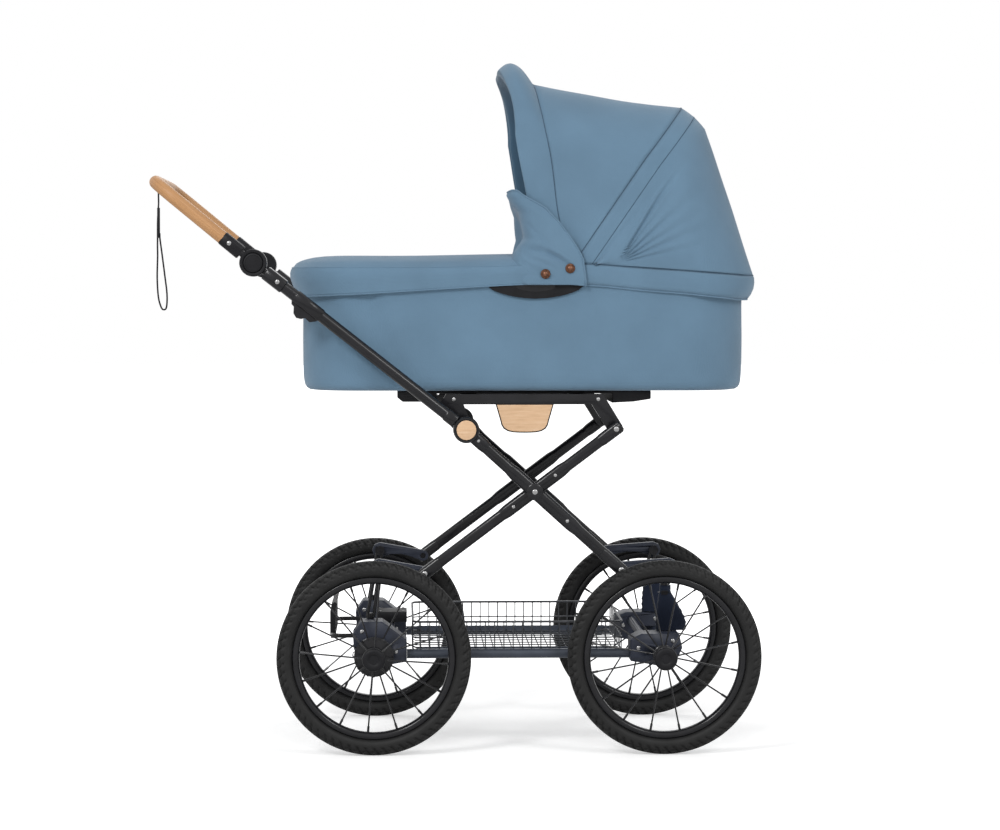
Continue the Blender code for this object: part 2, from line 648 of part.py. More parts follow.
def make_seat_frame():
    body("seat_frame", REAR_LEG_TOP)
    top, low = RAIL_TOP_Z, RAIL_TOP_Z - RAIL_DEPTH
    rest = FOLD_AXIS[1] + CLEARANCE
    x, z = REAR_LEG_TOP
    rear_x = FOLD_AXIS[0]
    outline = [
        (rear_x - 0.036, top), (x - 0.023, top), (x + 0.013, z + 0.005), (x + 0.010, z - 0.009),
        (x - 0.006, z - 0.012), (x - 0.014, z - 0.003), (x - 0.044, low), (rear_x - 0.004, low),
        (rear_x + 0.014, rest), (rear_x - 0.022, rest), (rear_x - 0.049, low),
    ]
    hole = (x, z, PIN_RADIUS + BORE_CLEARANCE)
    for side_name, side in SIDES.items():
        rail = plate(outline, [hole], RAIL_THICKNESS, side * RAIL_Y)
        add(f"seat_rail_{side_name}", "seat_frame", rail, BLACK_METAL)
    reach = RAIL_Y - RAIL_THICKNESS / 2 - CLEARANCE
    for name, start in (("rear", rear_x - 0.009), ("front", x - 0.085)):
        bar = box((start, -reach, top - 0.012), (start + 0.030, reach, top))
        add(f"seat_crossbar_{name}", "seat_frame", bar, BLACK_METAL)
    plate_top = low - CLEARANCE
    badge = [
        (-0.0395, plate_top), (0.0643, plate_top), (0.055, low - 0.032), (0.046, low - 0.044),
        (0.030, low - 0.0495), (0.0124, low - 0.0513), (-0.005, low - 0.0495), (-0.021, low - 0.044),
        (-0.030, low - 0.032),
    ]
    shape = plate(badge, [], PLATE_THICKNESS, -(RAIL_Y + RAIL_THICKNESS / 2 - PLATE_THICKNESS / 2))
    add("side_plate", "seat_frame", shape, WOOD)


def make_handle():
    body("handle_frame", FOLD_AXIS)
    body("handle", TILT_AXIS)
    tube_start = along(FOLD_AXIS, TILT_AXIS, FOLD_DISC_RADIUS + 0.0005)
    tube_end = along(TILT_AXIS, FOLD_AXIS, COLLAR_REACH - 0.020)
    grip_way = (-math.cos(GRIP_SLOPE), math.sin(GRIP_SLOPE))
    grip_top = tuple(a + GRIP_REACH * b for a, b in zip(TILT_AXIS, grip_way))
    split = TILT_DISC_INNER_Y + TILT_DISC_THICKNESS
    for side_name, side in SIDES.items():
        y = side * FRONT_LEG_Y
        lower = rod(side_view(tube_start, y), side_view(tube_end, y), HANDLE_TUBE_RADIUS, 12)
        housing = tilt_half(side, FOLD_AXIS, TILT_DISC_INNER_Y, split, False)
        catch = [fold_catch(y)] if side < 0 else []
        add(f"handle_tube_{side_name}", "handle_frame", fused([lower, *housing, *catch]), BLACK_METAL)
        low, high = split + CLEARANCE, split + CLEARANCE + TILT_DISC_THICKNESS
        arm = tilt_half(side, grip_top, low, high, True)
        add(f"tilt_arm_{side_name}", "handle", fused(arm), BLACK_PLASTIC)
        body(f"tilt_button_{side_name}", TILT_AXIS, side * (split + 0.01))
        seat = high - BUTTON_THICKNESS + BUTTON_TRAVEL + CLEARANCE
        shape = cross_rod(TILT_AXIS, side * seat, side * (seat + BUTTON_THICKNESS), BUTTON_RADIUS, 20)
        add(f"tilt_button_{side_name}", f"tilt_button_{side_name}", shape, BLACK_PLASTIC)
    start = tuple(a + (COLLAR_REACH + CLEARANCE) * b for a, b in zip(TILT_AXIS, grip_way))
    add("grip", "handle", tube(grip_points(start, grip_top, grip_way), GRIP_RADIUS, 2), OAK)
    make_strap(grip_top)


def fold_catch(y):
    """A small catch under the right handle tube: its outline is (distance along the tube, drop below it)."""
    ux, uz = (b - a for a, b in zip(FOLD_AXIS, TILT_AXIS))
    length = math.hypot(ux, uz)
    ux, uz = ux / length, uz / length
    outline = [(FOLD_AXIS[0] + s * ux - t * uz, FOLD_AXIS[1] + s * uz + t * ux) for s, t in FOLD_CATCH]
    return plate(outline, [], 0.010, y)


def tilt_half(side, towards, inner, outer, has_pocket):
    """Half of a tilt joint: a disc on the tilt axis, a neck and the collar that holds a tube."""
    middle = (inner + outer) / 2
    if has_pocket:
        depth = outer - inner
        floor = depth - BUTTON_THICKNESS
        profile = [
            (0, floor), (BUTTON_RADIUS + BORE_CLEARANCE, floor), (BUTTON_RADIUS + BORE_CLEARANCE, depth),
            (TILT_DISC_RADIUS, depth), (TILT_DISC_RADIUS, 0), (0, 0),
        ]
        at = side_view(TILT_AXIS, side * inner)
        disc = turned("disc", [(profile, False)], 20, 0, side, at)
    else:
        disc = cross_rod(TILT_AXIS, side * inner, side * outer, TILT_DISC_RADIUS, 20)
    near = along(TILT_AXIS, towards, TILT_DISC_RADIUS - 0.0035)
    start = along(TILT_AXIS, towards, TILT_DISC_RADIUS + 0.004)
    end = along(TILT_AXIS, towards, COLLAR_REACH)
    neck = rod(side_view(near, side * middle), side_view(between(start, end, 0.2), side * middle), 0.0062, 8)
    collar = rod(side_view(start, side * FRONT_LEG_Y), side_view(end, side * FRONT_LEG_Y), COLLAR_RADIUS, 16)
    return [disc, collar, neck]


def grip_points(start, top, way):
    """The middle line of the U-shaped grip, from one collar round to the other."""
    points = [side_view(start, -FRONT_LEG_Y)]
    corner_start = tuple(a - GRIP_CORNER * b for a, b in zip(top, way))
    corner_y = FRONT_LEG_Y - GRIP_CORNER
    turn = []
    for i in range(6):
        angle = math.radians(90 * i / 5)
        x, z = (a + GRIP_CORNER * math.sin(angle) * b for a, b in zip(corner_start, way))
        turn.append(Vector((x, -(corner_y + GRIP_CORNER * math.cos(angle)), z)))
    points += turn
    points += [Vector((p.x, -p.y, p.z)) for p in reversed(turn)]
    points.append(side_view(start, FRONT_LEG_Y))
    return points


def make_strap(grip_top):
    """A wrist strap: a cord from the grip, a sleeve, and a loop that hangs from the sleeve."""
    x, z = grip_top
    z -= GRIP_RADIUS + CLEARANCE
    bead_top = z - STRAP_STEM
    bead_low = bead_top - STRAP_SLEEVE
    stem = rod((x, STRAP_Y, z), (x, STRAP_Y, bead_top - 0.004), STRAP_RADIUS, 8)
    bead = box((x - 0.004, STRAP_Y - 0.0025, bead_low), (x + 0.004, STRAP_Y + 0.0025, bead_top))
    points = [Vector((x + dx, STRAP_Y, bead_low - drop)) for dx, drop in STRAP_LOOP]
    strap = fused([stem, bead, tube(points, STRAP_RADIUS, 1)])
    add("wrist_strap", "handle", strap, BLACK_PLASTIC)


def plan_outline(rear, front, half_width, corner, steps=5):
    """Points of a rounded rectangle seen from above, anticlockwise."""
    centres = ((front, 1, 1, 0), (rear, -1, 1, 90), (rear, -1, -1, 180), (front, 1, -1, 270))
    points = []
    for x, sx, sy, first in centres:
        for i in range(steps + 1):
            turn = math.radians(first + 90 * i / steps)
            cx, cy = x - sx * corner, sy * (half_width - corner)
            points.append((cx + corner * math.cos(turn), cy + corner * math.sin(turn)))
    return points


def loft(levels, is_open):
    """A wall through level outlines, each (z, outline), with a floor and, unless it is open, a top."""
    shape = bmesh.new()
    rings = [[shape.verts.new((x, y, z)) for x, y in outline] for z, outline in levels]
    shape.faces.new(list(reversed(rings[0])))
    for low, high in zip(rings, rings[1:]):
        for i in range(len(low)):
            j = (i + 1) % len(low)
            shape.faces.new((low[i], low[j], high[j], high[i]))
    if not is_open:
        shape.faces.new(rings[-1])
    return from_bmesh(shape, "loft")


def cot_outline(grow, steps=CORNER_STEPS):
    """The carrycot's plan, grown by this much all round."""
    return plan_outline(
        COT_REAR_X - grow, COT_FRONT_X + grow, COT_HALF_WIDTH + grow, COT_CORNER + grow, steps
    )


def make_tub():
    levels = (
        (COT_BOTTOM_Z, -0.010), (COT_BOTTOM_Z + 0.006, -0.001), (COT_BOTTOM_Z + 0.020, 0.0),
        (COT_TOP_Z - 0.012, 0.0), (COT_TOP_Z - 0.005, COT_FLARE), (COT_TOP_Z, COT_FLARE),
    )
    tub = loft([(z, cot_outline(grow)) for z, grow in levels], True)
    thicken(tub, COT_WALL)
    add("cot_tub", "cot", tub, BLUE_FABRIC)


def make_mattress():
    low = COT_BOTTOM_Z + COT_WALL + CLEARANCE
    gap = COT_WALL + 0.010
    levels = (
        (low, 0.012), (low + 0.014, 0.0), (low + 0.026, 0.0), (low + 0.036, 0.014), (low + 0.040, 0.040),
    )
    add("mattress", "cot", loft([(z, cot_outline(-gap - inset, 3)) for z, inset in levels], False), PADDING)


def apron_half_section(half_width, crown):
    """(y, z) points from a skirt's hem up and over to the middle."""
    return [
        (half_width, APRON_SKIRT_Z), (half_width, APRON_SHOULDER_Z),
        (half_width - 0.010, APRON_SHOULDER_Z + 0.010), (half_width * 0.5, crown - 0.002), (0, crown),
    ]


def make_apron():
    """The cover over the foot of the cot: skirts down both sides and the rear end, open in front and below.
    Its windshield flap stands up from the front edge."""
    grow = COT_FLARE + CLEARANCE + FABRIC
    rear, corner = COT_REAR_X - grow, COT_CORNER + grow
    stations = []
    for i in range(CORNER_STEPS + 1):
        turn = math.radians(90 * i / CORNER_STEPS)
        x = rear + corner * (1 - math.cos(turn))
        stations.append((x, SKIRT_HALF_WIDTH - corner * (1 - math.sin(turn))))
    stations += [(-0.10, SKIRT_HALF_WIDTH), (APRON_FRONT_X, SKIRT_HALF_WIDTH)]
    shape = bmesh.new()
    rows = []
    for index, (x, half_width) in enumerate(stations):
        crown = APRON_TOP_Z if index else APRON_TOP_Z - 0.006
        half = apron_half_section(half_width, crown)
        section = half + [(-y, z) for y, z in reversed(half[:-1])]
        rows.append([shape.verts.new((x, y, z)) for y, z in section])
    end = shape.faces.new(rows[0])
    for near, far in zip(rows, rows[1:]):
        for i in range(len(near) - 1):
            shape.faces.new((near[i], far[i], far[i + 1], near[i + 1]))
    bmesh.ops.recalc_face_normals(shape, faces=shape.faces)
    shape.normal_update()
    if end.normal.x > 0:
        bmesh.ops.reverse_faces(shape, faces=shape.faces)
    cover = from_bmesh(shape, "apron")
    thicken(cover, FABRIC)
    half = []
    for x, share, low, top in FLAP_PLAN:
        y = share * FLAP_HALF_WIDTH
        half.append((Vector((x, y, APRON_TOP_Z + low)), Vector((x - FLAP_LEAN, y, APRON_TOP_Z + top))))
    posts = [(Vector((a.x, -a.y, a.z)), Vector((b.x, -b.y, b.z))) for a, b in reversed(half[1:])] + half
    rows = [[low.lerp(top, share) for low, top in posts] for share in (0.0, 0.5, 1.0)]
    flap = sheet(rows, (APRON_FRONT_X + 0.1, 0, APRON_TOP_Z + 0.05))
    add("apron", "cot", fused([cover, flap]), BLUE_FABRIC)


def arch(half_width, reach, corner, start=0.0):
    """Points (across, along) of a round-cornered arch, from one foot over to the other."""
    half = [(half_width, start), (half_width, (reach - corner) * 0.5)]
    for i in range(ARCH_STEPS + 1):
        turn = math.radians(90 * i / ARCH_STEPS)
        half.append(
            (half_width - corner * (1 - math.cos(turn)), reach - corner * (1 - math.sin(turn)))
        )
    return half + [(0.0, reach)] + [(-y, r) for y, r in reversed(half)]


def swung(points, angle):
    """An arch's points in the plane through the hood's pivot at this angle above +X."""
    px, pz = HOOD_PIVOT
    return [Vector((px + r * math.cos(angle), y, pz + r * math.sin(angle))) for y, r in points]


def ruled(low, high, share):
    return [a.lerp(b, share) for a, b in zip(low, high)]


def make_hood():
    body("hood_rear_bow", HOOD_PIVOT)
    body("hood_front_bow", HOOD_PIVOT)
    inside = side_view(HOOD_PIVOT, 0)
    start = 0.012
    front = arch(HOOD_HALF_WIDTH, FRONT_BOW_REACH, HOOD_CORNER, start)
    rear = arch(HOOD_HALF_WIDTH, REAR_BOW_REACH, HOOD_CORNER, start)
    seam = arch(HOOD_HALF_WIDTH, SEAM_REACH, HOOD_CORNER, start)
    rim = arch(SKIRT_HALF_WIDTH, HOOD_RIM_REACH, COT_CORNER + 0.02, start)
    rim_rows = [swung(rim, 0.0)]
    skirt = [Vector((p.x, p.y, HOOD_SKIRT_Z)) for p in rim_rows[0]]
    seam_row = swung(seam, SEAM_ANGLE)
    bow_row = swung(rear, REAR_BOW_ANGLE - SEAM_SLIT)
    rows = [skirt, rim_rows[0], ruled(rim_rows[0], seam_row, 0.5), seam_row, bow_row]
    add("hood_rear_panel", "cot", sheet(rows, inside), BLUE_FABRIC)
    low, high = swung(rear, REAR_BOW_ANGLE + SEAM_SLIT), swung(front, FRONT_BOW_ANGLE - EDGE_SLIT)
    rows = [low, ruled(low, high, 0.5), high]
    add("hood_front_panel", "hood_rear_bow", sheet(rows, inside), BLUE_FABRIC)
    brim = arch(HOOD_HALF_WIDTH, VISOR_REACH, HOOD_CORNER + 0.02, start)
    bases = [swung(front, FRONT_BOW_ANGLE + turn) for turn in (EDGE_SLIT, VISOR_HEM)]
    rows = [row[2:-2] for row in (*bases, swung(brim, VISOR_ANGLE))]
    add("hood_visor", "hood_front_bow", sheet(rows, inside), BLUE_FABRIC)
    foot = PIN_RADIUS + 0.0004
    for name, angle, reach, inset in (
        ("hood_front_bow", FRONT_BOW_ANGLE, FRONT_BOW_REACH, FRONT_BOW_INSET),
        ("hood_rear_bow", REAR_BOW_ANGLE, REAR_BOW_REACH, REAR_BOW_INSET),
    ):
        line = arch(HOOD_HALF_WIDTH - inset, reach - BOW_DROP, HOOD_CORNER, foot)
        add(name, name, tube(swung(line, angle), BOW_RADIUS, 1), BLACK_METAL)
    make_hood_brackets()


def make_hood_brackets():
    """The plates on the cot's side walls that carry the hood's pivot pins."""
    px, pz = HOOD_PIVOT
    wall = COT_HALF_WIDTH - COT_WALL - CLEARANCE
    for side_name, side in SIDES.items():
        thin = sorted((side * (wall - 0.0167), side * (wall - 0.0102)))
        thick = sorted((side * (wall - 0.0127), side * wall))
        foot = box((px - 0.060, thick[0], COT_TOP_Z - 0.045), (px + 0.050, thick[1], COT_TOP_Z - 0.007))
        upright = box((px - 0.025, thin[0], COT_TOP_Z - 0.043), (px + 0.025, thin[1], pz + 0.012))
        outer = HOOD_HALF_WIDTH - FABRIC - CLEARANCE
        pin = cross_rod(HOOD_PIVOT, side * (wall - 0.0137), side * outer, PIN_RADIUS, 12)
        add(f"hood_bracket_{side_name}", "cot", fused([foot, upright, pin]), BLACK_PLASTIC)


def make_cot_base():
    low, high = RAIL_TOP_Z - 0.015, COT_BOTTOM_Z - CLEARANCE
    rest = RAIL_TOP_Z + CLEARANCE
    rear_x, front_x = FOLD_AXIS[0] - 0.054, REAR_LEG_TOP[0] - 0.005
    outline = [
        (rear_x - 0.072, high), (rear_x - 0.072, low + 0.008), (rear_x - 0.062, low), (rear_x, low),
        (rear_x, rest), (front_x, rest), (front_x, low - 0.002), (front_x + 0.040, low),
        (front_x + 0.072, low + 0.005), (front_x + 0.072, high),
    ]
    add("cot_base", "cot", plate(outline, [], 2 * COT_BASE_HALF_WIDTH, 0.0), BLACK_PLASTIC)


def centre_on_floor():
    """Moves the whole pram so that the middle of its box is over the origin."""
    bpy.context.view_layer.update()
    graph = bpy.context.evaluated_depsgraph_get()
    xs = []
    for shape in pram.objects:
        if shape.type in ("MESH", "CURVE"):
            found = shape.evaluated_get(graph)
            xs += [(found.matrix_world @ Vector(corner)).x for corner in found.bound_box]
    origin.location.x -= (min(xs) + max(xs)) / 2


body("undercarriage")
body("cot")
for end_name, end_sign in (("rear", -1), ("front", 1)):
    for wheel_side, wheel_sign in SIDES.items():
        make_wheel(f"{end_name}_{wheel_side}", end_sign * WHEELBASE / 2, wheel_sign, end_sign < 0)
make_lower_frame()
make_struts()
make_basket()
make_brake()
make_links()
make_legs()
make_seat_frame()
make_handle()
make_tub()
make_mattress()
make_apron()
make_hood()
make_cot_base()
centre_on_floor()
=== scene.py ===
"""The looks of a pram: finishes, cloth, wires, tyres and tubes, built round its solid frame."""

import math

import bmesh
import bpy
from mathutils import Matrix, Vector, noise


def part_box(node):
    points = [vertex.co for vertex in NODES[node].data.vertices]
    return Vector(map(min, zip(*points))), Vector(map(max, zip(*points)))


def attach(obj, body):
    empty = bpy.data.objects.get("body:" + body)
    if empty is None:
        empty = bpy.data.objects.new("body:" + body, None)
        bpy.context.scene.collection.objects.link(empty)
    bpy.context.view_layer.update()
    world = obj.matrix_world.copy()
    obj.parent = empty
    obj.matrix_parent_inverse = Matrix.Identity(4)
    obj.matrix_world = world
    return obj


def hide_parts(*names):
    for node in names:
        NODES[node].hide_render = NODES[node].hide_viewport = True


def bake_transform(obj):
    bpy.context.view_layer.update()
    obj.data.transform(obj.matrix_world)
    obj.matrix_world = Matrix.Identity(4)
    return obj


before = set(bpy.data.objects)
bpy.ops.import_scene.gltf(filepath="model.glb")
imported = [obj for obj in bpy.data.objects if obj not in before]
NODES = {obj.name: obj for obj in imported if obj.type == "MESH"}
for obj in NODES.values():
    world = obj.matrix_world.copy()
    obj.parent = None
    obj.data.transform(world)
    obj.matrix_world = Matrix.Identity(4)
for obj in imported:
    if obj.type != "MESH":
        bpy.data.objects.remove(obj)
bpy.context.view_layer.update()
SIDES = {"right": -1, "left": 1}


def middle(node):
    low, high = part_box(node)
    return (low + high) / 2


MID_X = (middle("rear_axle").x + middle("front_axle").x) / 2
AXLE_X = (middle("front_axle").x - middle("rear_axle").x) / 2
AXLE_Z = middle("front_axle").z


def at(x, y, z):
    """A point given from the middle of the wheelbase."""
    return Vector((MID_X + x, y, z))


def mirrored(half):
    """A row of points from the right side over to the left, from the (x, y, z) of its left half."""
    return [at(x, -y, z) for x, y, z in half] + [at(x, y, z) for x, y, z in reversed(half[:-1])]


def lerp(a, b, t):
    return a + (b - a) * t


def clamp(t):
    return min(1.0, max(0.0, t))


def smooth(t):
    t = clamp(t)
    return t * t * (3 - 2 * t)


def wobble(point, scale, seed=0.0):
    """Smooth noise from -1 to 1."""
    return noise.noise(Vector(point) * scale + Vector((seed, 1.7 * seed, -seed)))


def turns(count):
    """Even angles round a circle."""
    return [math.tau * i / count for i in range(count)]


def quarter(steps, first=0):
    """Even angles over a quarter turn, with both its ends."""
    return [math.radians(first + 90 * i / steps) for i in range(steps + 1)]


def neighbours(items, index):
    """The item at this place with the one before and the two after, held at the ends of the row."""
    return [items[max(0, min(len(items) - 1, index + k))] for k in (-1, 0, 1, 2)]


def curve_point(four, t):
    """A point on a smooth curve, this share of the way from the second of four points to the third."""
    p, q, r, s = four
    return 0.5 * (2 * q + (r - p) * t + (2 * p - 5 * q + 4 * r - s) * t * t
                  + (3 * q - p - 3 * r + s) * t ** 3)


def curve_through(points, steps):
    return [curve_point(neighbours(points, i), j / steps)
            for i in range(len(points) - 1) for j in range(steps)] + [points[-1]]


def add(name, data):
    made = bpy.data.objects.new(name, data)
    bpy.context.scene.collection.objects.link(made)
    return made


def add_node(tree, kind, inputs, operation=None):
    """A new shader node. An input that is given a socket is linked to it, and any other is set."""
    node = tree.nodes.new(kind)
    if operation:
        node.operation = operation
    for key, value in inputs.items():
        if isinstance(value, bpy.types.NodeSocket):
            tree.links.new(value, node.inputs[key])
        else:
            node.inputs[key].default_value = value
    return node


# Camera, light and floor
def look_from(place, lens, way):
    data = bpy.data.cameras.new("camera")
    data.lens, data.sensor_width = lens, 36.0
    camera = add("camera", data)
    camera.location = place
    camera.rotation_euler = Vector(way).to_track_quat("-Z", "Y").to_euler()
    bpy.context.scene.camera = camera


def area_light(name, place, target, size, power):
    data = bpy.data.lights.new(name, "AREA")
    data.shape, data.size, data.energy = "SQUARE", size, power
    lamp = add(name, data)
    lamp.location = place
    lamp.rotation_euler = (Vector(target) - Vector(place)).to_track_quat("-Z", "Y").to_euler()


def make_world():
    """A plain light all round, and white where the camera, a gloss or a glass sees the background."""
    world = bpy.data.worlds.new("studio")
    world.use_nodes = True
    bpy.context.scene.world = world
    tree = world.node_tree
    tree.nodes.clear()
    path = tree.nodes.new("ShaderNodeLightPath").outputs
    seen = path["Is Camera Ray"]
    for ray in ("Is Glossy Ray", "Is Transmission Ray"):
        total = add_node(tree, "ShaderNodeMath", {0: seen, 1: path[ray]}, "ADD")
        total.use_clamp = True
        seen = total.outputs[0]
    dim, bright = (add_node(tree, "ShaderNodeBackground", {"Color": (1, 1, 1, 1), "Strength": strength})
                   for strength in (0.50, 1.0))
    mix = add_node(tree, "ShaderNodeMixShader", {0: seen, 1: dim.outputs[0], 2: bright.outputs[0]})
    add_node(tree, "ShaderNodeOutputWorld", {0: mix.outputs[0]})


def make_floor():
    """A pale floor that keeps the shadow and goes over to white further out."""
    shape = bmesh.new()
    bmesh.ops.create_grid(shape, x_segments=1, y_segments=1, size=30)
    mesh = bpy.data.meshes.new("floor")
    shape.to_mesh(mesh)
    shape.free()
    floor = add("floor", mesh)
    look = bpy.data.materials.new("floor")
    look.use_nodes = True
    tree = look.node_tree
    shader = tree.nodes["Principled BSDF"]
    for name, value in (("Base Color", (0.9, 0.9, 0.9, 1)), ("Roughness", 1.0), ("Specular IOR Level", 0.0),
                        ("Emission Color", (1, 1, 1, 1))):
        shader.inputs[name].default_value = value
    seen = tree.nodes.new("ShaderNodeLightPath").outputs["Is Camera Ray"]
    place = tree.nodes.new("ShaderNodeTexCoord").outputs["Object"]
    reach = add_node(tree, "ShaderNodeVectorMath", {0: place}, "LENGTH").outputs["Value"]
    fade = add_node(tree, "ShaderNodeMapRange", {"Value": reach, "From Min": 0.7, "From Max": 1.9,
                                                 "To Min": 0.42, "To Max": 1.0})
    lift = add_node(tree, "ShaderNodeMath", {0: seen, 1: fade.outputs[0]}, "MULTIPLY")
    tree.links.new(lift.outputs[0], shader.inputs["Emission Strength"])
    mesh.materials.append(look)


bpy.context.scene.view_settings.view_transform = "Standard"
look_from((MID_X - 0.2200, -6.042, 0.8456), 114.58, (0.03197, 1.0, -0.03917))
make_world()
make_floor()
area_light("key", (-2.2, -3.6, 3.4), (0.1, 0, 0.6), 1.2, 84)
area_light("fill", (2.3, -3.4, 3.2), (0.1, 0, 0.6), 1.2, 40)
area_light("back", (0.5, 3.6, 3.2), (0.1, 0, 0.7), 2.6, 42)


# Materials
SOCKETS = {"coat": "Coat Weight", "coat_roughness": "Coat Roughness", "sheen": "Sheen Weight",
           "sheen_roughness": "Sheen Roughness", "specular": "Specular IOR Level"}


class Look:
    """A material whose colour, roughness and relief come from nodes."""

    def __init__(self, name, colour, roughness, metallic=0.0):
        self.material = bpy.data.materials.new(name)
        self.material.use_nodes = True
        self.tree = self.material.node_tree
        self.shader = self.tree.nodes["Principled BSDF"]
        self.shader.inputs["Base Color"].default_value = (*colour, 1)
        self.shader.inputs["Roughness"].default_value = roughness
        self.shader.inputs["Metallic"].default_value = metallic
        self.colour = colour
        self.place = self.tree.nodes.new("ShaderNodeTexCoord").outputs["Object"]

    def set(self, **sockets):
        for name, value in sockets.items():
            self.shader.inputs[SOCKETS[name]].default_value = value
        return self

    def drive(self, socket, source):
        self.tree.links.new(source, self.shader.inputs[socket])
        return self

    def stretched(self, scales, source=None):
        inputs = {"Scale": scales, "Vector": source or self.place}
        return add_node(self.tree, "ShaderNodeMapping", inputs).outputs[0]

    def noise(self, scale, detail=3.0, source=None):
        inputs = {"Scale": scale, "Detail": detail, "Vector": source or self.place}
        return add_node(self.tree, "ShaderNodeTexNoise", inputs).outputs["Fac"]

    def weave(self, pitch):
        """Crossing threads on any face: the sum of a sine along each axis."""
        wide = self.stretched((math.tau / pitch,) * 3)
        wave = add_node(self.tree, "ShaderNodeVectorMath", {0: wide}, "SINE").outputs[0]
        total = add_node(self.tree, "ShaderNodeVectorMath", {0: wave, 1: (1, 1, 1)}, "DOT_PRODUCT")
        return total.outputs["Value"]

    def paint(self, source, stops):
        node = add_node(self.tree, "ShaderNodeValToRGB", {0: source})
        elements = node.color_ramp.elements
        while len(elements) < len(stops):
            elements.new(0.5)
        for element, (position, colour) in zip(elements, stops):
            element.position, element.color = position, (*colour, 1)
        return self.drive("Base Color", node.outputs[0])

    def vary(self, scale, share):
        """Colour that drifts by this share either way."""
        dark = tuple(c * (1 - share) for c in self.colour)
        light = tuple(min(1, c * (1 + share)) for c in self.colour)
        return self.paint(self.noise(scale, 4.0), [(0.3, dark), (0.7, light)])

    def polish(self, scale, low, high):
        inputs = {"Value": self.noise(scale), "To Min": low, "To Max": high}
        return self.drive("Roughness", add_node(self.tree, "ShaderNodeMapRange", inputs).outputs[0])

    def relief(self, source, strength, depth):
        inputs = {"Strength": strength, "Distance": depth, "Height": source}
        before = self.shader.inputs["Normal"].links
        if before:
            inputs["Normal"] = before[0].from_socket
        return self.drive("Normal", add_node(self.tree, "ShaderNodeBump", inputs).outputs[0])


def cloth(name, colour, pitch=0.0011, sheen=0.25, spread=0.07):
    look = Look(name, colour, 0.92).set(sheen=sheen, sheen_roughness=0.5, specular=0.2).vary(9, spread)
    look.relief(look.weave(pitch), 0.35, 0.00012)
    return look.relief(look.noise(420, 3), 0.45, 0.0004).relief(look.noise(45, 4), 0.40, 0.0012)


def wood(name, dark, mid, light, scales, from_uv):
    look = Look(name, mid, 0.50).set(coat=0.05, coat_roughness=0.4)
    coords = look.tree.nodes.new("ShaderNodeTexCoord").outputs["UV"] if from_uv else look.place
    grain, pores = (look.noise(size, detail, look.stretched(scales, coords))
                    for size, detail in ((1.0, 6), (1.3, 3)))
    look.paint(grain, [(0.28, dark), (0.46, mid), (0.56, mid), (0.72, light)])
    return look.relief(pores, 0.05, 0.0001)


FABRIC = cloth("blue_fabric", (0.142, 0.243, 0.345))
LINING = cloth("hood_lining", (0.078, 0.150, 0.225))
NAVY = cloth("navy_fabric", (0.012, 0.018, 0.036), 0.0014)
TICKING = cloth("mattress_ticking", (0.62, 0.62, 0.60), 0.0009, 0.15, 0.03)
# Dark blue for the hood's seam welts: part real seam, and darker than the cloth to paint the shade that lies
# in the seams' creases
SEAM_SHADE_THREAD = Look("seam_thread_painted_shade", (0.060, 0.110, 0.165), 0.8).vary(300, 0.2)
BLACK_PAINT = Look("black_paint", (0.012, 0.012, 0.014), 0.20)
BLACK_PAINT.set(coat=0.16, coat_roughness=0.06, specular=0.22)
BLACK_PAINT.vary(30, 0.25).polish(45, 0.14, 0.26).relief(BLACK_PAINT.noise(700, 2), 0.12, 0.0001)
BLACK_PLASTIC = Look("black_plastic", (0.010, 0.010, 0.012), 0.50).set(specular=0.20)
BLACK_PLASTIC.vary(60, 0.2).polish(80, 0.40, 0.56).relief(BLACK_PLASTIC.noise(1400, 2), 0.25, 0.0001)
GREY_PLASTIC = Look("slate_plastic", (0.024, 0.029, 0.046), 0.42).set(specular=0.30)
GREY_PLASTIC.vary(50, 0.2).polish(70, 0.34, 0.50).relief(GREY_PLASTIC.noise(1200, 2), 0.25, 0.0001)
SLATE_PAINT = Look("slate_paint", (0.050, 0.060, 0.082), 0.35, 0.2).vary(40, 0.15).polish(60, 0.28, 0.42)
RUBBER = Look("rubber", (0.011, 0.011, 0.011), 0.60).set(specular=0.30).vary(35, 0.3).polish(50, 0.48, 0.66)
RUBBER.relief(RUBBER.noise(1100, 3), 0.35, 0.0002)
WIRE = Look("wire", (0.055, 0.058, 0.065), 0.35, 0.5).vary(60, 0.2).polish(90, 0.28, 0.45)
STEEL = Look("steel", (0.40, 0.40, 0.40), 0.32, 1.0).vary(80, 0.08).polish(120, 0.18, 0.36)
BRONZE = Look("bronze", (0.16, 0.075, 0.045), 0.32, 0.75).vary(220, 0.5).polish(150, 0.25, 0.45)
LEATHER = Look("tan_leather", (0.30, 0.13, 0.055), 0.6).vary(200, 0.2)
GRIP_WOOD = wood("grip_wood", (0.33, 0.155, 0.058), (0.52, 0.27, 0.112), (0.64, 0.37, 0.18), (9, 46, 1), True)
PALE_WOOD = wood("pale_wood", (0.66, 0.42, 0.24), (0.76, 0.50, 0.30), (0.84, 0.60, 0.40), (30, 200, 420),
                 False)


# Shapes
def cap(shape, ring, mark=0):
    shape.faces.new(ring).material_index = mark


def skin(shape, rows, around=False, along=False, mark=0, lengths=None):
    """Faces through rows of points. With lengths, the UV is (distance along, share around)."""
    made = [[shape.verts.new(p) for p in row] for row in rows]
    count = len(rows[0])
    layer = shape.loops.layers.uv.verify() if lengths else None
    for i in range(len(made) - (0 if along else 1)):
        low, high = made[i], made[(i + 1) % len(made)]
        for j in range(count - (0 if around else 1)):
            k = (j + 1) % count
            face = shape.faces.new((low[j], low[k], high[k], high[j]))
            face.material_index = mark
            if lengths:
                corners = ((i, j), (i, j + 1), (i + 1, j + 1), (i + 1, j))
                for loop, (a, b) in zip(face.loops, corners):
                    loop[layer].uv = (lengths[min(a, len(lengths) - 1)], b / count)
    return made


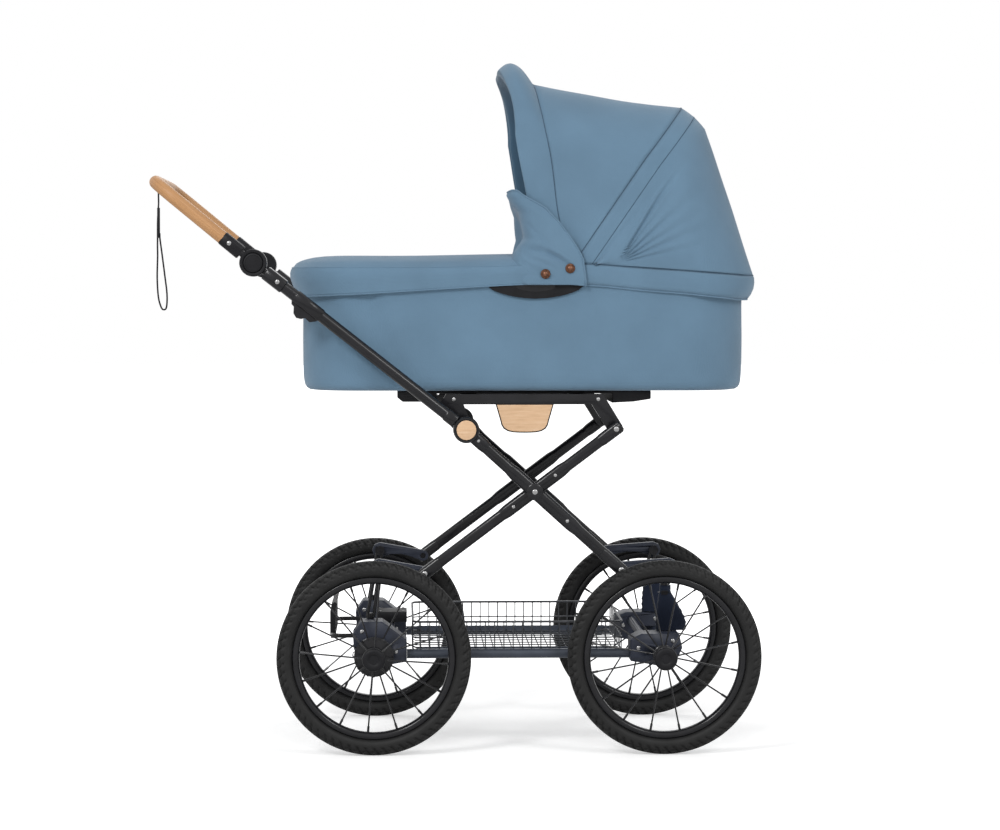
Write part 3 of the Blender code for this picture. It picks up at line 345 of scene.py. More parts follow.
def capped(shape, rows, mark=0, lengths=None):
    """A skin round rows of points, with a face over each end."""
    made = skin(shape, rows, True, False, mark, lengths)
    cap(shape, list(reversed(made[0])), mark)
    cap(shape, made[-1], mark)


def oval(a, b, count=20):
    return [(a * math.cos(t), b * math.sin(t)) for t in turns(count)]


def full_oval(power, a, b, count=24):
    """An oval with fuller corners, the more so the lower the power."""
    return [(math.copysign(abs(c) ** power, c) * a, math.copysign(abs(s) ** power, s) * b)
            for c, s in ((math.cos(t), math.sin(t)) for t in turns(count))]


def sweep(shape, path, section, start=(0, 1, 0), ends=0.0, with_uv=False, closed=False):
    """A section carried along a path. Ends above 0 round the caps by this length."""
    path = [Vector(p) for p in path]
    count = len(path)
    side = Vector(start)
    rows, lengths, total = [], [], 0.0
    for i, place in enumerate(path):
        before = path[i - 1] if (i or closed) else path[0]
        after = path[(i + 1) % count] if (i < count - 1 or closed) else path[-1]
        way = (after - before).normalized()
        side = (side - way * side.dot(way)).normalized()
        if i:
            total += (place - path[i - 1]).length
        rows.append((place, side, way.cross(side), way))
        lengths.append(total)
    steps = [(i, 1.0, 0.0) for i in range(count)]
    if ends:
        round_end = [math.radians(t) for t in (20, 45, 70, 84)]
        steps = [(0, math.cos(t), -math.sin(t)) for t in reversed(round_end)] + steps
        steps += [(count - 1, math.cos(t), math.sin(t)) for t in round_end]
    points = []
    for i, size, shift in steps:
        place, across, up, way = rows[i]
        centre = place + way * shift * ends
        points.append([centre + across * a * size + up * b * size for a, b in section])
    spans = [lengths[i] + shift * ends for i, _, shift in steps] if with_uv else None
    if closed:
        skin(shape, points, True, True)
    else:
        capped(shape, points, 0, spans)


def lathe(shape, profile, centre, side=1, steps=40, mark=0, closed=False):
    """A profile of (radius, outward) turned about a crosswise axis. Points at radius 0 close it."""
    rings = []
    for radius, outward in profile:
        spots = [(radius * math.cos(t), side * outward, radius * math.sin(t)) for t in turns(steps)]
        if radius <= 1e-9:
            spots = [(0, side * outward, 0)]
        rings.append([shape.verts.new(centre + Vector(spot)) for spot in spots])
    pairs = list(zip(rings, rings[1:])) + ([(rings[-1], rings[0])] if closed else [])
    for low, high in pairs:
        for i in range(steps):
            j = (i + 1) % steps
            corners = [low[i % len(low)], low[j % len(low)], high[j % len(high)], high[i % len(high)]]
            corners = list(dict.fromkeys(corners))
            if len(corners) > 2:
                cap(shape, corners, mark)


def block(shape, outline, y_low, y_high, mark=0):
    """A flat outline of (x, z) points pushed through from one y to the other."""
    low, high = ([shape.verts.new((x, y, z)) for x, z in outline] for y in (y_low, y_high))
    cap(shape, low, mark)
    cap(shape, list(reversed(high)), mark)
    for i in range(len(outline)):
        j = (i + 1) % len(outline)
        cap(shape, (low[i], high[i], high[j], low[j]), mark)


def box_outline(left, right, low, high):
    return [(MID_X + left, low), (MID_X + right, low), (MID_X + right, high), (MID_X + left, high)]


def rod(shape, start, end, radius, count=16, ends=0.0, flat=None):
    way = Vector(end) - Vector(start)
    first = (0, 1, 0) if abs(way.normalized().y) < 0.9 else (1, 0, 0)
    sweep(shape, [start, end], oval(radius, flat or radius, count), first, ends)


def pin(shape, point, y_start, y_end, radius, count=16):
    """A crosswise rod through an (x, z) point."""
    rod(shape, at(point[0], y_start, point[1]), at(point[0], y_end, point[1]), radius, count)


def dome(shape, centre, side, radius, height, steps=20):
    """A rivet's or screw's head."""
    rise = [(radius * math.cos(t), height * (0.35 + 0.65 * math.sin(t)))
            for t in map(math.radians, (25, 50, 72))]
    lathe(shape, [(0, 0), (radius, 0.0), (radius, height * 0.35), *rise, (0, height)], centre, side, steps)


def soften(made, width):
    """Rounds the edges of an object by this much."""
    edge = made.modifiers.new("edge", "BEVEL")
    edge.width, edge.segments, edge.limit_method = width, 3, "ANGLE"
    edge.angle_limit = math.radians(35)
    edge.harden_normals = True


def piece(name, shape, looks, body, nodes=(), bevel=0.0, closed=True, sharp=38):
    """Makes an object of a finished shape, gives it its looks and puts it on its body."""
    if closed:
        bmesh.ops.recalc_face_normals(shape, faces=shape.faces)
    mesh = bpy.data.meshes.new(name)
    shape.to_mesh(mesh)
    shape.free()
    made = add(name, mesh)
    looks = looks if isinstance(looks, list) else [looks]
    for look in looks:
        mesh.materials.append(look.material)
    mesh.shade_smooth()
    if sharp < 180:
        mesh.set_sharp_from_angle(angle=math.radians(sharp))
    if bevel:
        soften(made, bevel)
    if body:
        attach(made, body)
    if nodes:
        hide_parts(*nodes)
    return made


def face_out(shape, inside, mark=None):
    """Turns a sheet so that its outer side, or its faces of this look, looks away from a point."""
    shape.normal_update()
    outer = [face for face in shape.faces if mark in (None, face.material_index)]
    if sum(face.normal.dot((face.calc_center_median() - inside).normalized()) for face in outer) < 0:
        bmesh.ops.reverse_faces(shape, faces=shape.faces)


def sheet_piece(name, shape, body, nodes=(), thickness=0.0022, inner=1):
    """A sheet of blue cloth, thickened inwards. Inner 1 gives its inside the lining's look."""
    made = piece(name, shape, [FABRIC, LINING], body, nodes, closed=False, sharp=180)
    layer = made.modifiers.new("thickness", "SOLIDIFY")
    layer.thickness, layer.offset, layer.material_offset = thickness, -1, inner
    return made


def seam(name, points, radius, look, body):
    """A welt or binding that runs along a line of points."""
    shape = bmesh.new()
    clean = [points[0]]
    for point in points[1:]:
        if (point - clean[-1]).length > 0.0008:
            clean.append(point)
    sweep(shape, clean, oval(radius, radius, 8), (0.3, 0.5, 1))
    piece(name, shape, look, body, sharp=180)


# Wheels
LUGS = 66
TYRE_WIDTH = 0.0160
TYRE_MIDDLE = 0.1622
RIM = (
    (0.1482, 0.0085), (0.1482, -0.0085), (0.1462, -0.0100), (0.1405, -0.0100), (0.1372, -0.0078),
    (0.1355, -0.0035), (0.1352, 0.0), (0.1355, 0.0035), (0.1372, 0.0078), (0.1405, 0.0100), (0.1462, 0.0100),
)
RIM_INSIDE = 0.1352
HUB_OUT = 0.022
CAP_OUT = 0.0368
SPOKES = 16


def tread_depth(turn, across):
    """How deep the tread is cut here. Across runs from -1 to 1 over the tread."""
    wide = abs(across)
    if wide < 0.10:
        return 0.0012
    if 0.30 < wide < 0.38:
        return 0.0020
    if wide < 0.38:
        return 0.0
    share = (turn * LUGS / math.tau + (0.5 if across > 0 else 0.0) + 1.1 * (wide - 0.38)) % 1.0
    if share < 0.30:
        return 0.0032 * smooth((1.12 - wide) / 0.12)
    return 0.0024 if 0.66 < wide < 0.76 and share > 0.55 else 0.0


def make_tyre(name, centre):
    shape = bmesh.new()
    rows = []
    for turn in turns(LUGS * 7):
        row = []
        for angle in turns(44):
            angle -= math.pi
            out, wide = math.cos(angle), math.sin(angle)
            squared = (abs(out) ** 2.6 + abs(wide) ** 2.6) ** (-1 / 2.6)
            share = angle / math.radians(82)
            cut = tread_depth(turn, share) if abs(share) < 1.12 else 0.0
            if 1.30 < abs(share) < 1.38:
                cut = -0.0004
            radius = TYRE_MIDDLE + (AXLE_Z - TYRE_MIDDLE - cut) * out * squared * (1.0 if out > 0 else 0.98)
            y = (TYRE_WIDTH - cut * 0.8) * wide * squared
            row.append(centre + Vector((radius * math.cos(turn), y, radius * math.sin(turn))))
        rows.append(row)
    skin(shape, rows, True, True)
    piece(f"tyre_mesh_{name}", shape, RUBBER, f"{name}_wheel", [f"tyre_{name}"], sharp=50)


def make_hub(name, centre, side, is_rear, twist):
    shape = bmesh.new()
    inner, depth = (0.0365, 0.008) if is_rear else (0.0200, 0.004)
    shell = [
        (0.0063, HUB_OUT - 0.001), (0.0195, HUB_OUT), (0.0200, HUB_OUT - 0.001), (0.0200, HUB_OUT - 0.0035),
        (0.0135, HUB_OUT - 0.006), (0.0128, 0.004), (0.0128, -0.010), (0.0135, -HUB_OUT + 0.0085),
        (inner - 0.002, -HUB_OUT + depth), (inner, -HUB_OUT + depth - 0.001), (inner, -HUB_OUT + 0.0005),
        (inner - 0.001, -HUB_OUT), (0.0063, -HUB_OUT),
    ]
    lathe(shape, shell, centre, side, 48, closed=True)
    for turn in turns(20) if is_rear else ():
        spot = centre + Vector((0.0352 * math.cos(turn), 0, 0.0352 * math.sin(turn)))
        reach = [spot + Vector((0, side * y, 0)) for y in (-HUB_OUT + 0.0007, -HUB_OUT + depth + 0.0015)]
        rod(shape, *reach, 0.0021, 8)
    hub_cap = [
        (0.0, CAP_OUT - 0.0022), (0.0085, CAP_OUT - 0.0020), (0.0100, CAP_OUT - 0.0006), (0.0150, CAP_OUT),
        (0.0185, CAP_OUT - 0.0006), (0.0206, CAP_OUT - 0.0028), (0.0214, CAP_OUT - 0.0065),
        (0.0214, HUB_OUT + 0.0035), (0.0205, HUB_OUT + 0.0030), (0.0205, HUB_OUT + 0.0005),
        (0.0, HUB_OUT + 0.0005),
    ]
    lathe(shape, hub_cap, centre, side, 48, 1)
    for i in range(SPOKES):
        turn = math.tau * (i + 0.5) / SPOKES + twist
        facing = 1 if i % 2 == 0 else -1
        across = Vector((0, side * facing, 0))
        ray = Vector((math.cos(turn), 0, math.sin(turn)))
        near = centre + ray * ((0.020 if facing > 0 else inner) - 0.003) + across * (HUB_OUT - 0.002)
        far = centre + ray * RIM_INSIDE + across * (HUB_OUT - 0.002) * 0.1
        rod(shape, near, far, 0.0015, 8)
        rod(shape, far.lerp(near, 0.09), far, 0.0022, 8)
        dome(shape, near + across * 0.0022, side * facing, 0.0028, 0.0014, 10)
    piece(f"hub_mesh_{name}", shape, [BLACK_PAINT, BLACK_PLASTIC], f"{name}_wheel", [f"hub_{name}"])


def make_wheels():
    for end, twist in (("rear", -15.85), ("front", 0.5)):
        for side_name, side in SIDES.items():
            name = f"{end}_{side_name}"
            centre = middle(f"tyre_{name}")
            make_tyre(name, centre)
            shape = bmesh.new()
            lathe(shape, RIM, centre, side, 96, closed=True)
            piece(f"rim_mesh_{name}", shape, BLACK_PAINT, f"{name}_wheel", [f"rim_{name}"], sharp=60)
            make_hub(name, centre, side, end == "rear", math.radians(twist))


# Frame nodes that keep their own shape, with the width of their rounded edges
KEPT = (
    (BLACK_PAINT, 0.0022, ("seat_rail_right", "seat_rail_left", "seat_crossbar_rear", "seat_crossbar_front")),
    (GREY_PLASTIC, 0.0030, ("rear_axle_carrier", "front_axle_carrier")),
    (GREY_PLASTIC, 0.0018, ("rear_link_right", "rear_link_left", "front_link_right", "front_link_left")),
    (BLACK_PLASTIC, 0.0025, ("brake_box",)),
    (BLACK_PLASTIC, 0.0030, ("cot_base",)),
    (BLACK_PLASTIC, 0.0010, ("hood_bracket_right", "hood_bracket_left")),
    (STEEL, 0, ("rear_axle", "front_axle")),
)


def finish_kept():
    for look, bevel, names in KEPT:
        for node in (NODES[name] for name in names):
            node.data.materials.clear()
            node.data.materials.append(look.material)
            node.data.shade_smooth()
            node.modifiers.new("weld", "WELD").merge_threshold = 0.00002
            if bevel:
                soften(node, bevel)


make_wheels()
finish_kept()


# Legs, handle and lower frame
REAR_PIVOT, FRONT_PIVOT = (-0.2566, 0.337), (0.280, 0.337)
REAR_FOOT, REAR_TOP = (-0.172, 0.326), (0.180, 0.591)
FRONT_FOOT, FOLD = (0.188, 0.334), (-0.096, 0.591)
CROSS = (0.02934, 0.47758)
TILT = (-0.4836, 0.8956)
REAR_LEG_Y, LEG_Y = 0.208, 0.232
GRIP_RISE, GRIP_REACH = math.radians(39.5), 0.233
GRIP_TOP = (TILT[0] - GRIP_REACH * math.cos(GRIP_RISE), TILT[1] + GRIP_REACH * math.sin(GRIP_RISE))
PIN_RADIUS = 0.0049


def way_between(a, b):
    length = math.dist(a, b)
    return (b[0] - a[0]) / length, (b[1] - a[1]) / length


def on_line(a, b, distance, y):
    ux, uz = way_between(a, b)
    return at(a[0] + ux * distance, y, a[1] + uz * distance)


def line_rod(shape, a, b, start, stop, y, radius, count=16):
    rod(shape, on_line(a, b, start, y), on_line(a, b, stop, y), radius, count)


def oval_tube(shape, a, b, start, stop, y, tall, wide):
    """A flat-oval tube in a side plane. Tall is its half height seen from the side."""
    sweep(shape, [on_line(a, b, start, y), on_line(a, b, stop, y)], full_oval(0.8, wide, tall), ends=0.006)


def sleeve(shape, a, b, spans, y, wide):
    """A sleeve round a tube: (distance, half height) pairs along the line."""
    ux, uz = way_between(a, b)
    rows = []
    for distance, tall in spans:
        centre = on_line(a, b, distance, y)
        ring = full_oval(0.7, tall * wide, tall)
        rows.append([centre + Vector((-uz * rise, depth, ux * rise)) for depth, rise in ring])
    capped(shape, rows)


def rivet(shape, point, y, side, radius=0.0052, height=0.0026):
    dome(shape, at(point[0], y, point[1]), side, radius, height)


def make_rear_legs():
    shape, studs = bmesh.new(), bmesh.new()
    line = REAR_FOOT, REAR_TOP
    length, cross = math.dist(*line), math.dist(REAR_FOOT, CROSS)
    sleeves = (
        (0.80, [(cross - 0.075, 0.0106), (cross - 0.062, 0.0122), (cross + 0.062, 0.0122),
                (cross + 0.075, 0.0106)]),
        (0.85, [(-0.011, 0.008), (-0.008, 0.0112), (0.028, 0.0112), (0.036, 0.0106)]),
        (0.85, [(length - 0.038, 0.0106), (length - 0.030, 0.0116), (length + 0.008, 0.0116),
                (length + 0.012, 0.008)]),
    )
    for side in SIDES.values():
        y = side * REAR_LEG_Y
        oval_tube(shape, *line, -0.006, length + 0.006, y, 0.0104, 0.0078)
        for wide, spans in sleeves:
            sleeve(shape, *line, spans, y, wide)
        for point, inner in ((REAR_FOOT, 0.1832), (REAR_TOP, 0.1783)):
            pin(shape, point, side * inner, y, PIN_RADIUS)
            rivet(studs, point, side * (REAR_LEG_Y + 0.0088), side)
        for distance in (cross - 0.048, cross + 0.048):
            dome(studs, on_line(*line, distance, side * (REAR_LEG_Y + 0.0094)), side, 0.0032, 0.0014)
    pin(shape, CROSS, -REAR_LEG_Y, REAR_LEG_Y, 0.008, 24)
    piece("rear_legs_tube", shape, BLACK_PAINT, "rear_legs", ["rear_leg_frame"])
    piece("rear_leg_rivets", studs, STEEL, "rear_legs")


def make_front_leg(side_name, side):
    shape, studs = bmesh.new(), bmesh.new()
    y = side * LEG_Y
    line = FRONT_FOOT, FOLD
    length, cross = math.dist(*line), math.dist(FRONT_FOOT, CROSS)
    oval_tube(shape, *line, -0.006, length - 0.018, y, 0.0108, 0.0085)
    for wide, spans in (
        (0.80, [(cross - 0.105, 0.0110), (cross - 0.092, 0.0126), (cross + 0.050, 0.0126),
                (cross + 0.062, 0.0110)]),
        (0.84, [(-0.011, 0.008), (-0.008, 0.0116), (0.040, 0.0116), (0.048, 0.0110)]),
        (0.86, [(length - 0.050, 0.0110), (length - 0.040, 0.0122), (length - 0.016, 0.0122)]),
    ):
        sleeve(shape, *line, spans, y, wide)
    boss = [(0.0, 0.0118), (0.0135, 0.0118), (0.0155, 0.0105), (0.0155, -0.0130), (0.0, -0.0130)]
    lathe(shape, boss, at(CROSS[0], y, CROSS[1]), side, 32)
    disc = [(0.0, -0.0113), (0.0225, -0.0113), (0.0240, -0.0098), (0.0240, 0.0130), (0.0225, 0.0152),
            (0.0195, 0.0155), (0.0192, 0.0140), (0.0, 0.0140)]
    lathe(shape, disc, at(FOLD[0], y, FOLD[1]), side, 48)
    pin(shape, FRONT_FOOT, side * 0.1975, y, PIN_RADIUS)
    pin(shape, FOLD, side * 0.1966, y, PIN_RADIUS)
    rivet(studs, FRONT_FOOT, side * (LEG_Y + 0.0094), side, 0.0055)
    rivet(studs, CROSS, side * (LEG_Y + 0.0117), side, 0.0048, 0.0016)
    for distance in (cross - 0.080, length - 0.030):
        dome(studs, on_line(*line, distance, side * (LEG_Y + 0.0094)), side, 0.0032, 0.0014)
    piece(f"front_leg_tube_{side_name}", shape, BLACK_PAINT, "front_legs", [f"front_leg_{side_name}"])
    piece(f"front_leg_rivets_{side_name}", studs, STEEL, "front_legs")
    shape = bmesh.new()
    wooden = [(0.0, 0.0158), (0.0165, 0.0158), (0.0178, 0.0166), (0.0178, 0.0182), (0.0165, 0.0188),
              (0.0, 0.0190)]
    lathe(shape, wooden, at(FOLD[0], y, FOLD[1]), side, 40)
    piece(f"fold_cap_wood_{side_name}", shape, PALE_WOOD, "front_legs", [f"fold_cap_{side_name}"])


CATCH = ((0.398, 0.008), (0.392, 0.016), (0.386, 0.017), (0.379, 0.027), (0.370, 0.0305), (0.362, 0.027),
         (0.357, 0.021), (0.346, 0.022), (0.338, 0.014), (0.335, 0.008))


def make_handle_tube(side_name, side):
    shape, studs = bmesh.new(), bmesh.new()
    y = side * LEG_Y
    line = FOLD, TILT
    length = math.dist(*line)
    line_rod(shape, *line, 0.0250, length - 0.050, y, 0.0108, 28)
    collar = [(length - 0.0715, 0.0112), (length - 0.0700, 0.0132), (length - 0.030, 0.0132),
              (length - 0.0285, 0.0122)]
    sleeve(shape, *line, collar, y, 0.96)
    sleeve(shape, *line, [(0.0255, 0.0122), (0.0450, 0.0122), (0.0470, 0.0110)], y, 0.95)
    line_rod(shape, *line, length - 0.034, length - 0.020, side * 0.225, 0.0062)
    disc = [(0.0, 0.0), (0.0238, 0.0), (0.0250, 0.0012), (0.0250, 0.0118), (0.0238, 0.0130), (0.0, 0.0130)]
    lathe(shape, disc, at(TILT[0], side * 0.2185, TILT[1]), side, 48)
    dome(studs, on_line(*line, length - 0.056, side * (LEG_Y + 0.0120)), side, 0.0044, 0.0024)
    if side < 0:
        ux, uz = way_between(*line)
        points = [(MID_X + FOLD[0] + s * ux - t * uz, FOLD[1] + s * uz + t * ux) for s, t in CATCH]
        block(shape, points, y - 0.0052, y + 0.0052)
        sleeve(shape, *line, [(0.336, 0.0112), (0.338, 0.0124), (0.394, 0.0124), (0.396, 0.0112)], y, 0.97)
    piece(f"handle_lower_{side_name}", shape, BLACK_PAINT, "handle_frame", [f"handle_tube_{side_name}"])
    piece(f"handle_rivets_{side_name}", studs, STEEL, "handle_frame")


def make_tilt_arm(side_name, side):
    shape, studs = bmesh.new(), bmesh.new()
    line = TILT, GRIP_TOP
    pocket = [(0.0, 0.0), (0.0238, 0.0), (0.0250, 0.0012), (0.0250, 0.0108), (0.0238, 0.0128),
              (0.0200, 0.0130), (0.0186, 0.0122), (0.0186, 0.0052), (0.0, 0.0052)]
    lathe(shape, pocket, at(TILT[0], side * 0.2318, TILT[1]), side, 48)
    line_rod(shape, *line, 0.0200, 0.036, side * 0.2383, 0.0062)
    collar = [(0.0285, 0.0120), (0.0300, 0.0132), (0.0705, 0.0132), (0.0720, 0.0122)]
    sleeve(shape, *line, collar, side * LEG_Y, 0.96)
    dome(studs, on_line(*line, 0.056, side * (LEG_Y + 0.0121)), side, 0.0044, 0.0024)
    piece(f"tilt_arm_shell_{side_name}", shape, BLACK_PLASTIC, "handle", [f"tilt_arm_{side_name}"])
    piece(f"tilt_arm_rivet_{side_name}", studs, STEEL, "handle")
    shape = bmesh.new()
    button = f"tilt_button_{side_name}"
    inner, outer = sorted(abs(corner.y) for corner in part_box(button))
    face = outer - inner
    knob = [(0.0, 0.0), (0.0176, 0.0), (0.0176, face - 0.0022), (0.0168, face - 0.0008), (0.0150, face),
            (0.0143, face), (0.0138, face - 0.0006), (0.0, face - 0.0001)]
    lathe(shape, knob, at(TILT[0], side * inner, TILT[1]), side, 48)
    piece(f"tilt_knob_{side_name}", shape, BLACK_PLASTIC, button, [button])


def make_grip():
    """One wooden bar: up the right arm, round a corner, across and down the left."""
    shape = bmesh.new()
    corner = 0.055
    bend = GRIP_REACH - corner
    start, stop = (on_line(TILT, GRIP_TOP, distance, -LEG_Y) for distance in (0.0715, bend))
    half = [start.lerp(stop, i / 6) for i in range(6)]
    half += [on_line(TILT, GRIP_TOP, bend + corner * math.sin(t), -(LEG_Y - corner + corner * math.cos(t)))
             for t in quarter(12)]
    half += [Vector((half[-1].x, y, half[-1].z)) for y in (-0.12, -0.06, 0.0)]
    path = half + [Vector((p.x, -p.y, p.z)) for p in reversed(half[:-1])]
    sweep(shape, path, oval(0.0122, 0.0122, 28), with_uv=True)
    piece("grip_wood_bar", shape, GRIP_WOOD, "handle", ["grip"], sharp=60)


# The wrist strap's route: (forward, drop) from under the grip, down, round its loop and up again
STRAP = (
    (0.0, 0.0), (0.0, 0.012), (0.0002, 0.024), (-0.0008, 0.040), (-0.0018, 0.060), (-0.0020, 0.0875),
    (-0.0022, 0.105), (-0.002, 0.1225), (-0.003, 0.1625), (-0.001, 0.1975), (0.004, 0.2165),
    (0.009, 0.2215), (0.014, 0.2165), (0.015, 0.1925), (0.011, 0.1575), (0.006, 0.1175),
    (0.0024, 0.0900), (0.0021, 0.0800),
)


def make_strap():
    top = at(GRIP_TOP[0], -0.12, GRIP_TOP[1] - 0.0125)
    curve = bpy.data.curves.new("wrist_cord", "CURVE")
    curve.dimensions, curve.bevel_depth, curve.bevel_resolution = "3D", 0.0016, 3
    curve.use_fill_caps = True
    fine = curve_through([top + Vector((dx, 0, -drop)) for dx, drop in STRAP], 4)
    spline = curve.splines.new("POLY")
    spline.points.add(len(fine) - 1)
    for spot, place in zip(spline.points, fine):
        spot.co = (*place, 1)
    curve.materials.append(BLACK_PLASTIC.material)
    made = add("wrist_cord", curve)
    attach(made, "handle")
    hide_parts("wrist_strap")
    shape = bmesh.new()
    rod(shape, top + Vector((0, 0, -0.0335)), top + Vector((0, 0, -0.0875)), 0.0042, 16, 0.0012, 0.0027)
    bead = piece("wrist_sleeve", shape, BLACK_PLASTIC, "handle")


STRUT_X, STRUT_Y = AXLE_X + 0.007, 0.1755


def make_strut(end, sign, pivot, side_name, side):
    shape, studs = bmesh.new(), bmesh.new()
    y = side * STRUT_Y
    foot = (sign * STRUT_X, 0.2403 if sign < 0 else 0.3003)
    bottom, top = at(foot[0], y, foot[1] + 0.003), at(pivot[0], y, pivot[1])
    for shift in (-0.0058, 0.0058):
        offset = Vector((shift, 0, 0))
        rod(shape, bottom + offset, top + offset * 0.8, 0.0031)
    rod(shape, at(foot[0], y, foot[1]), at(foot[0], y, foot[1] + 0.010), 0.0072, 20)
    lathe(shape, [(0.0, -0.0065), (0.0092, -0.0065), (0.0092, 0.0065), (0.0, 0.0065)], top, side, 28)
    pin(shape, pivot, y, side * 0.1968, PIN_RADIUS)
    rivet(studs, pivot, side * 0.1972, side, 0.0062)
    piece(f"{end}_post_{side_name}", shape, BLACK_PAINT, "undercarriage", [f"{end}_strut_{side_name}"])
    piece(f"{end}_post_rivet_{side_name}", studs, STEEL, "undercarriage")


def make_spring_cover(side_name, side):
    """The navy sleeve round a front strut: puckered cloth, drawn in by a strap at the top."""
    x, y, low, high = STRUT_X, side * 0.1717, 0.2168, 0.3000
    shape = bmesh.new()
    rows = []
    for i in range(25):
        t = i / 24
        swell = 0.002 * math.sin(math.pi * t)
        left = lerp(-0.0150, -0.0085, smooth(t)) - swell
        right = lerp(0.0400, 0.0120, smooth((t - 0.10) / 0.85)) + swell
        ridge = (1 + 0.03 * math.sin(t * 46)) * (0.88 if 0.80 < t < 0.88 else 1)
        ring = full_oval(0.75, (right - left) / 2 * ridge, lerp(0.0102, 0.0082, t), 28)
        rows.append([at(x + (left + right) / 2 + wide, y + deep,
                        lerp(low, high, t) + 0.001 * wobble((turn, t * 5, side), 2))
                     for turn, (wide, deep) in zip(turns(28), ring)])
    capped(shape, rows)
    piece(f"strut_sleeve_{side_name}", shape, NAVY, "undercarriage", [f"spring_cover_{side_name}"])
    shape = bmesh.new()
    loop = [at(x + 0.0006 + a, y + b, lerp(low, high, 0.84)) for a, b in oval(0.0098, 0.0088, 24)]
    sweep(shape, loop, oval(0.0006, 0.0030, 8), (0, 0, 1), closed=True)
    block(shape, box_outline(x - 0.006, x + 0.006, 0.283, 0.2905), side * 0.1795, side * 0.1822)
    piece(f"sleeve_strap_{side_name}", shape, BLACK_PLASTIC, "undercarriage")


def make_lower():
    for side_name, side in SIDES.items():
        shape = bmesh.new()
        node = f"side_tube_{side_name}"
        low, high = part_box(node)
        centre = middle(node)
        rod(shape, (low.x, centre.y, centre.z), (high.x, centre.y, centre.z), 0.0089, 28)
        piece(f"side_rail_{side_name}", shape, SLATE_PAINT, "undercarriage", [node])
        make_strut("rear", -1, REAR_PIVOT, side_name, side)
        make_strut("front", 1, FRONT_PIVOT, side_name, side)
        make_spring_cover(side_name, side)


def make_pedal():
    shape = bmesh.new()
    x, z = -AXLE_X - 0.025, 0.206
    bar_x, y, corner = x - 0.052, 0.155, 0.016
    pin(shape, (x, z), -0.1645, 0.1645, PIN_RADIUS, 20)
    turn = [(corner * math.sin(t), corner * (1 - math.cos(t))) for t in map(math.radians, (22, 45, 68, 90))]
    path = [at(x, -y, z), at(bar_x + corner, -y, z)]
    path += [at(bar_x + corner - dx, -y + dy, z) for dx, dy in turn]
    path += [at(bar_x + corner - dx, y - dy, z) for dx, dy in reversed(turn)]
    path += [at(bar_x + corner, y, z), at(x, y, z)]
    sweep(shape, path, oval(0.0041, 0.0041, 14), (0, 0, 1))
    piece("pedal_frame", shape, BLACK_PAINT, "brake_pedal", ["brake_pedal"])
    shape = bmesh.new()
    side_view = ((-0.0042, -0.0078), (0.0042, -0.0078), (0.0042, 0.0440), (0.0075, 0.0560), (0.0035, 0.0600),
                 (-0.0020, 0.0560), (-0.0042, 0.0440))
    block(shape, [(MID_X + bar_x + dx, z + dz) for dx, dz in side_view], -0.125, 0.125)
    for i in range(21):
        rib = -0.115 + 0.230 * i / 20
        rod(shape, at(bar_x - 0.0046, rib, z - 0.002), at(bar_x - 0.0046, rib, z + 0.042), 0.0012, 8)
    piece("pedal_pad", shape, BLACK_PLASTIC, "brake_pedal", bevel=0.0010)


def rounded_corners(rear, front, wide, corner, steps):
    """The corners of a rounded rectangle seen from above, anticlockwise from the front left."""
    corners = []
    for x, sx, sy, first in ((front, 1, 1, 0), (rear, -1, 1, 90), (rear, -1, -1, 180), (front, 1, -1, 270)):
        corners.append([(x - sx * corner + corner * math.cos(t), sy * (wide - corner) + corner * math.sin(t))
                        for t in quarter(steps, first)])
    return corners


def make_basket():
    shape = bmesh.new()
    length, wide, low, top = 0.1935, 0.1885, 0.1775, 0.2345
    for z, radius in ((top, 0.0021), (low + 0.028, 0.0012), (low + 0.002, 0.0016)):
        ring = [at(x, y, z) for arc in rounded_corners(-length, length, wide, 0.020, 5) for x, y in arc]
        sweep(shape, ring, oval(radius, radius, 8), (0, 0, 1), closed=True)
    for i in range(22):
        x = lerp(-length + 0.014, length - 0.014, i / 21)
        path = [(-wide, top), (-wide, low + 0.005), (-wide + 0.005, low)]
        path += [(-y, z) for y, z in reversed(path)]
        sweep(shape, [at(x, y, z) for y, z in path], oval(0.0011, 0.0011, 6), (1, 0, 0))
    for i in range(9):
        y = lerp(-wide + 0.030, wide - 0.030, i / 8)
        path = [(-length, top), (-length, low + 0.005), (-length + 0.005, low + 0.0024)]
        path += [(-x, z) for x, z in reversed(path)]
        sweep(shape, [at(x, y, z) for x, z in path], oval(0.0012, 0.0012, 6))
    piece("basket_wires", shape, WIRE, "undercarriage", ["basket"])
    shape = bmesh.new()
    for side in SIDES.values():
        block(shape, box_outline(-length + 0.01, length - 0.01, 0.1760, 0.1880), side * 0.1868, side * 0.1878)
    piece("basket_bands", shape, SLATE_PAINT, "undercarriage", bevel=0.0003)


